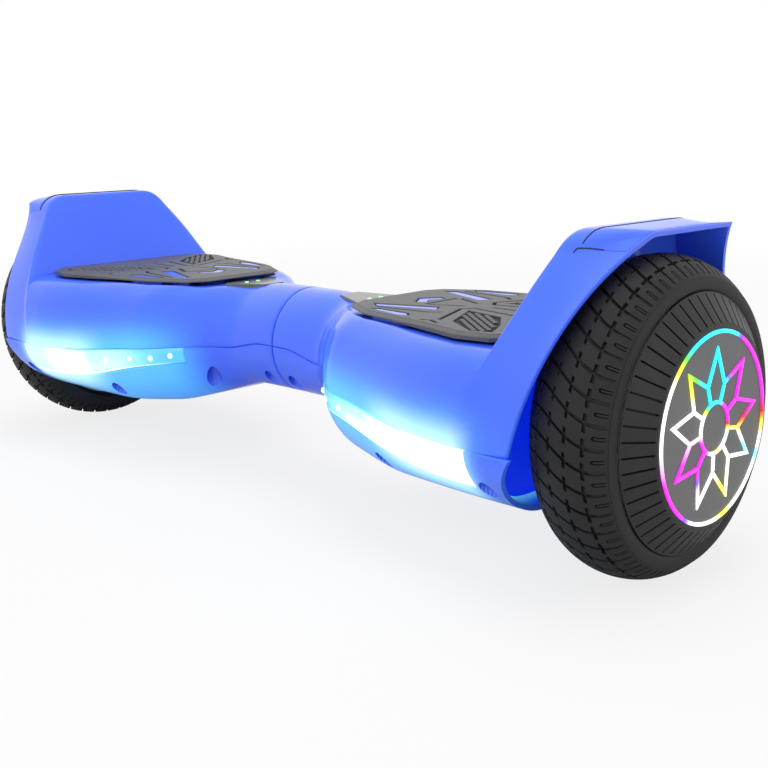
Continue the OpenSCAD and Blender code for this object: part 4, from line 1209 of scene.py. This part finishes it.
def footPad(sideName, side):
    grooves = [grooveShape(g) for g in frontGrooves + middleGrooves + [flipped(g) for g in frontGrooves]]
    patches = [padPatch, flipped(padPatch)]
    low, skinLow = pad["z"] + pad["lift"], padTop - pad["layer"]
    basePlan, skinPlan = grown(padOutline, -0.6), grown(padOutline, -pad["chamfer"] - 0.2)
    # the base below the grooves and brick patches takes the near-black groove finish: painted shade in the
    # recesses
    skinHoles, dark, black = padSlots + grooves + patches, finish["padGroove"], finish["padRubber"]
    pieces = [
        padSkirt(sideName + "PadSkirt", side),
        sheetPiece(sideName + "PadBase", basePlan, padSlots, low, skinLow, 0.2, dark, side),
        sheetPiece(sideName + "PadSkin", skinPlan, skinHoles, skinLow, padTop, 0.35, black, side),
    ]
    pieces += [bricks(sideName, side, end, path) for end, path in zip(("Front", "Rear"), patches)]
    for piece in pieces:
        place(piece, sideName + "_pad", sideName + "_foot_pad")


def deckRibs(sideName, side):
    # blue ribs of the deck that show through the pad's slots
    for i, path in enumerate(padSlots):
        ends = (body["deckZ"] - 1, padTop - pad["ribSunk"])
        rib = sheetPiece(f"{sideName}DeckRib{i}", grown(path, -1.0), [], *ends, 0.4, blueShell, side)
        place(rib, sideName + "_half", sideName + "_top_shell")


for sideName, side in sides:
    footPad(sideName, side)
    deckRibs(sideName, side)
print("foot pads made")


# neck sleeve

sleeveForm = dict(r0=29.6, r1=31.4, half=5, cuts=72)


def neckSleeve():
    # dark ring inside the neck that closes the view through the running gap
    f, points = sleeveForm, []
    for x, r in ((-f["half"], f["r1"]), (f["half"], f["r1"]), (f["half"], f["r0"]), (-f["half"], f["r0"])):
        points += [(x, y, body["neckZ"] + z) for y, z in circle(f["cuts"], r)]
    sleeve = solidPiece("neckSleeve", points, ringFaces(4, f["cuts"], 0, True), finish["blackPlastic"])
    place(sleeve, "left_half", "left_top_shell")


neckSleeve()
print("neck sleeve made")


# indicator panels

panelForm = dict(
    plan=[(37, -8), (66, -20), (72, -15), (72, 15), (66, 20), (37, 8)], low=-3, high=0.25, tilt=2.2,
    lamps=((61, -5), (61, 5)), lampR=1.5, lampCuts=16, lampColour=(0.25, 0.9, 0.2),
)


def onPanel(side):
    # the panel follows the deck's slope from its neck end
    hingeX = panelForm["plan"][0][0]
    up = Matrix.Translation((side * hingeX / 1000, 0, topZ(hingeX, 0) / 1000))
    lean = Matrix.Rotation(side * math.radians(panelForm["tilt"]), 4, "Y")
    return up @ lean @ Matrix.Translation((-side * hingeX / 1000, 0, 0))


def indicatorPanel(sideName, side):
    f, points, faces = panelForm, [], []
    grey = finish["indicatorPanel"]
    plate = sheetPiece(sideName + "IndicatorPanel", f["plan"], [], f["low"], f["high"], 0.4, grey, side)
    n = f["lampCuts"]
    for cx, cy in f["lamps"]:
        start = len(points)
        for r, h in ((1.0, 0.1), (0.95, 0.45), (0.6, 0.62)):
            points += [(cx + x, cy + y, h) for x, y in circle(n, r * f["lampR"])]
        faces += ringFaces(3, n, start)
        faces += [tuple(start + 2 * n + k for k in range(n)), tuple(start + n - 1 - k for k in range(n))]
    lamps = solidPiece(sideName + "StatusLamps", points, faces, finish["lampDots"], side)
    paintPoints(lamps, "lineColour", lambda x, y, z: f["lampColour"])
    for piece in (plate, lamps):
        piece.data.transform(onPanel(side))
        place(piece, sideName + "_half", sideName + "_indicator_panel")


for sideName, side in sides:
    indicatorPanel(sideName, side)
print("indicator panels made")


# finishes for the solids that stay

solidLooks = dict(
    chassis="castAlloy", rim="castAlloy", inner_cover="castAlloy", outer_cover="castAlloy",
    axle="turnedSteel", bearings="turnedSteel", pivot_tube="turnedSteel", pivot_bushes="bushBronze",
    axle_clamp="darkSteel", shell_screws="darkSteel", magnets="darkSteel", pivot_clip="darkSteel",
    gyro_board="circuitBoard", switch_board="circuitBoard", main_board="circuitBoard",
    stator="copperWinding", battery_pack="batteryWrap", lamp_strip="lampStrip", hub_disc="smokedDisc",
    arch_liner="archLiner", pad_plungers="padRubber", rear_collars="glossBlueShell",
    wiring_harness="blackPlastic", charge_socket="blackPlastic", charge_flap="flapRubber",
    power_button="buttonSilver",
)
finish["glossBlueShell"] = blueShell
for nodeName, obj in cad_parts.items():
    look = solidLooks.get(nodeName.replace("left_", "").replace("right_", ""))
    if look and obj.type == "MESH":
        obj.data.materials.clear()
        obj.data.materials.append(finish[look])
print("solids finished")


# camera, floor and light

view = dict(
    at=(0.580039, -0.513014, 0.235131), right=(0.699004, 0.714947, -0.015608),
    up=(-0.129693, 0.148204, 0.980416), back=(0.703259, -0.68329, 0.196319),
    lens=55.0973, shift=(0.023155, -0.036370),
)
camData = bpy.data.cameras.new("camera")
camData.sensor_width = 36
camData.lens = view["lens"]
camData.shift_x, camData.shift_y = view["shift"]
camData.clip_start, camData.clip_end = 0.01, 50
scene.camera = linked("camera", camData)
turned = Matrix([[view[k][i] for k in ("right", "up", "back")] for i in range(3)])
scene.camera.matrix_world = Matrix.Translation(view["at"]) @ turned.to_4x4()

floorLook = dict(radius=4, drop=0.0005, grey=(0.62, 0.62, 0.62, 1), fadeFrom=0.5, fadeTo=1.6, white=0.8)
floorMesh = bpy.data.meshes.new("floor")
bm = bmesh.new()
bmesh.ops.create_circle(bm, cap_ends=True, segments=96, radius=floorLook["radius"])
bm.to_mesh(floorMesh)
bm.free()
floor = linked("floor", floorMesh)
floor.location.z = -floorLook["drop"]
# pale near the object, mostly white to the camera, and clear further out
floorMat, tree, floorShader = newFinish("paleFloor")
setSockets(floorShader, {"Base Color": floorLook["grey"], "Roughness": 0.9, "Specular IOR Level": 0.1})
coords = addNode(tree, "ShaderNodeTexCoord")
away = addNode(tree, "ShaderNodeVectorMath", operation="LENGTH")
fade = addNode(tree, "ShaderNodeMapRange", {
    "From Min": floorLook["fadeFrom"], "From Max": floorLook["fadeTo"]})
seenHere = addNode(tree, "ShaderNodeLightPath")
share = addNode(tree, "ShaderNodeMath", {1: floorLook["white"]}, operation="MULTIPLY")
glowing = addNode(tree, "ShaderNodeEmission", {"Color": (1, 1, 1, 1)})
clear = addNode(tree, "ShaderNodeBsdfTransparent")
lit, mix = addNode(tree, "ShaderNodeMixShader"), addNode(tree, "ShaderNodeMixShader")
wire(
    tree, (coords.outputs["Object"], away.inputs[0]), (away.outputs["Value"], fade.inputs["Value"]),
    (seenHere.outputs["Is Camera Ray"], share.inputs[0]), (share.outputs["Value"], lit.inputs["Fac"]),
    (floorShader.outputs["BSDF"], lit.inputs[1]), (glowing.outputs["Emission"], lit.inputs[2]),
    (fade.outputs["Result"], mix.inputs["Fac"]), (lit.outputs["Shader"], mix.inputs[1]),
    (clear.outputs["BSDF"], mix.inputs[2]),
    (mix.outputs["Shader"], tree.nodes["Material Output"].inputs["Surface"]),
)
floorMesh.materials.append(floorMat)

# white where the camera, gloss or glass sees it, a little dimmer as a light
skyLook = dict(light=0.7, seen=1.0)
world = bpy.data.worlds.new("studio")
scene.world = world
world.use_nodes = True
sky = world.node_tree
background = sky.nodes["Background"]
setSockets(background, {"Color": (1, 1, 1, 1)})
path = addNode(sky, "ShaderNodeLightPath")
clearOrSeen = addNode(sky, "ShaderNodeMath", operation="MAXIMUM")
seen = addNode(sky, "ShaderNodeMath", operation="MAXIMUM")
level = addNode(sky, "ShaderNodeMapRange", {"To Min": skyLook["light"], "To Max": skyLook["seen"]})
wire(
    sky, (path.outputs["Is Camera Ray"], clearOrSeen.inputs[0]),
    (path.outputs["Is Transmission Ray"], clearOrSeen.inputs[1]),
    (clearOrSeen.outputs["Value"], seen.inputs[0]), (path.outputs["Is Glossy Ray"], seen.inputs[1]),
    (seen.outputs["Value"], level.inputs["Value"]), (level.outputs["Result"], background.inputs["Strength"]),
)


def softBox(name, at, aim, size, power):
    data = bpy.data.lights.new(name, "AREA")
    data.shape, data.size, data.size_y, data.energy = "RECTANGLE", size[0], size[1], power
    lamp = linked(name, data)
    lamp.location = at
    lamp.rotation_mode = "QUATERNION"
    lamp.rotation_quaternion = (Vector(aim) - Vector(at)).to_track_quat("-Z", "Y")
    # the boxes light the shells without showing in their gloss, which mirrors only the pale surroundings
    lamp.visible_glossy = False


softBox("topBox", (0.1, 0.1, 1.4), (0, 0, 0.1), (1.4, 1.0), 12)
softBox("leftCard", (-1.1, 0.1, 1.0), (0, 0, 0.1), (1.1, 0.9), 2.5)
softBox("frontBox", (0.2, -1.5, 0.9), (0, 0, 0.1), (1.2, 0.8), 9)
softBox("rightBox", (1.6, 0.2, 0.7), (0.2, 0, 0.1), (0.9, 0.9), 4)

scene.view_settings.view_transform = "Standard"
print("stage set")
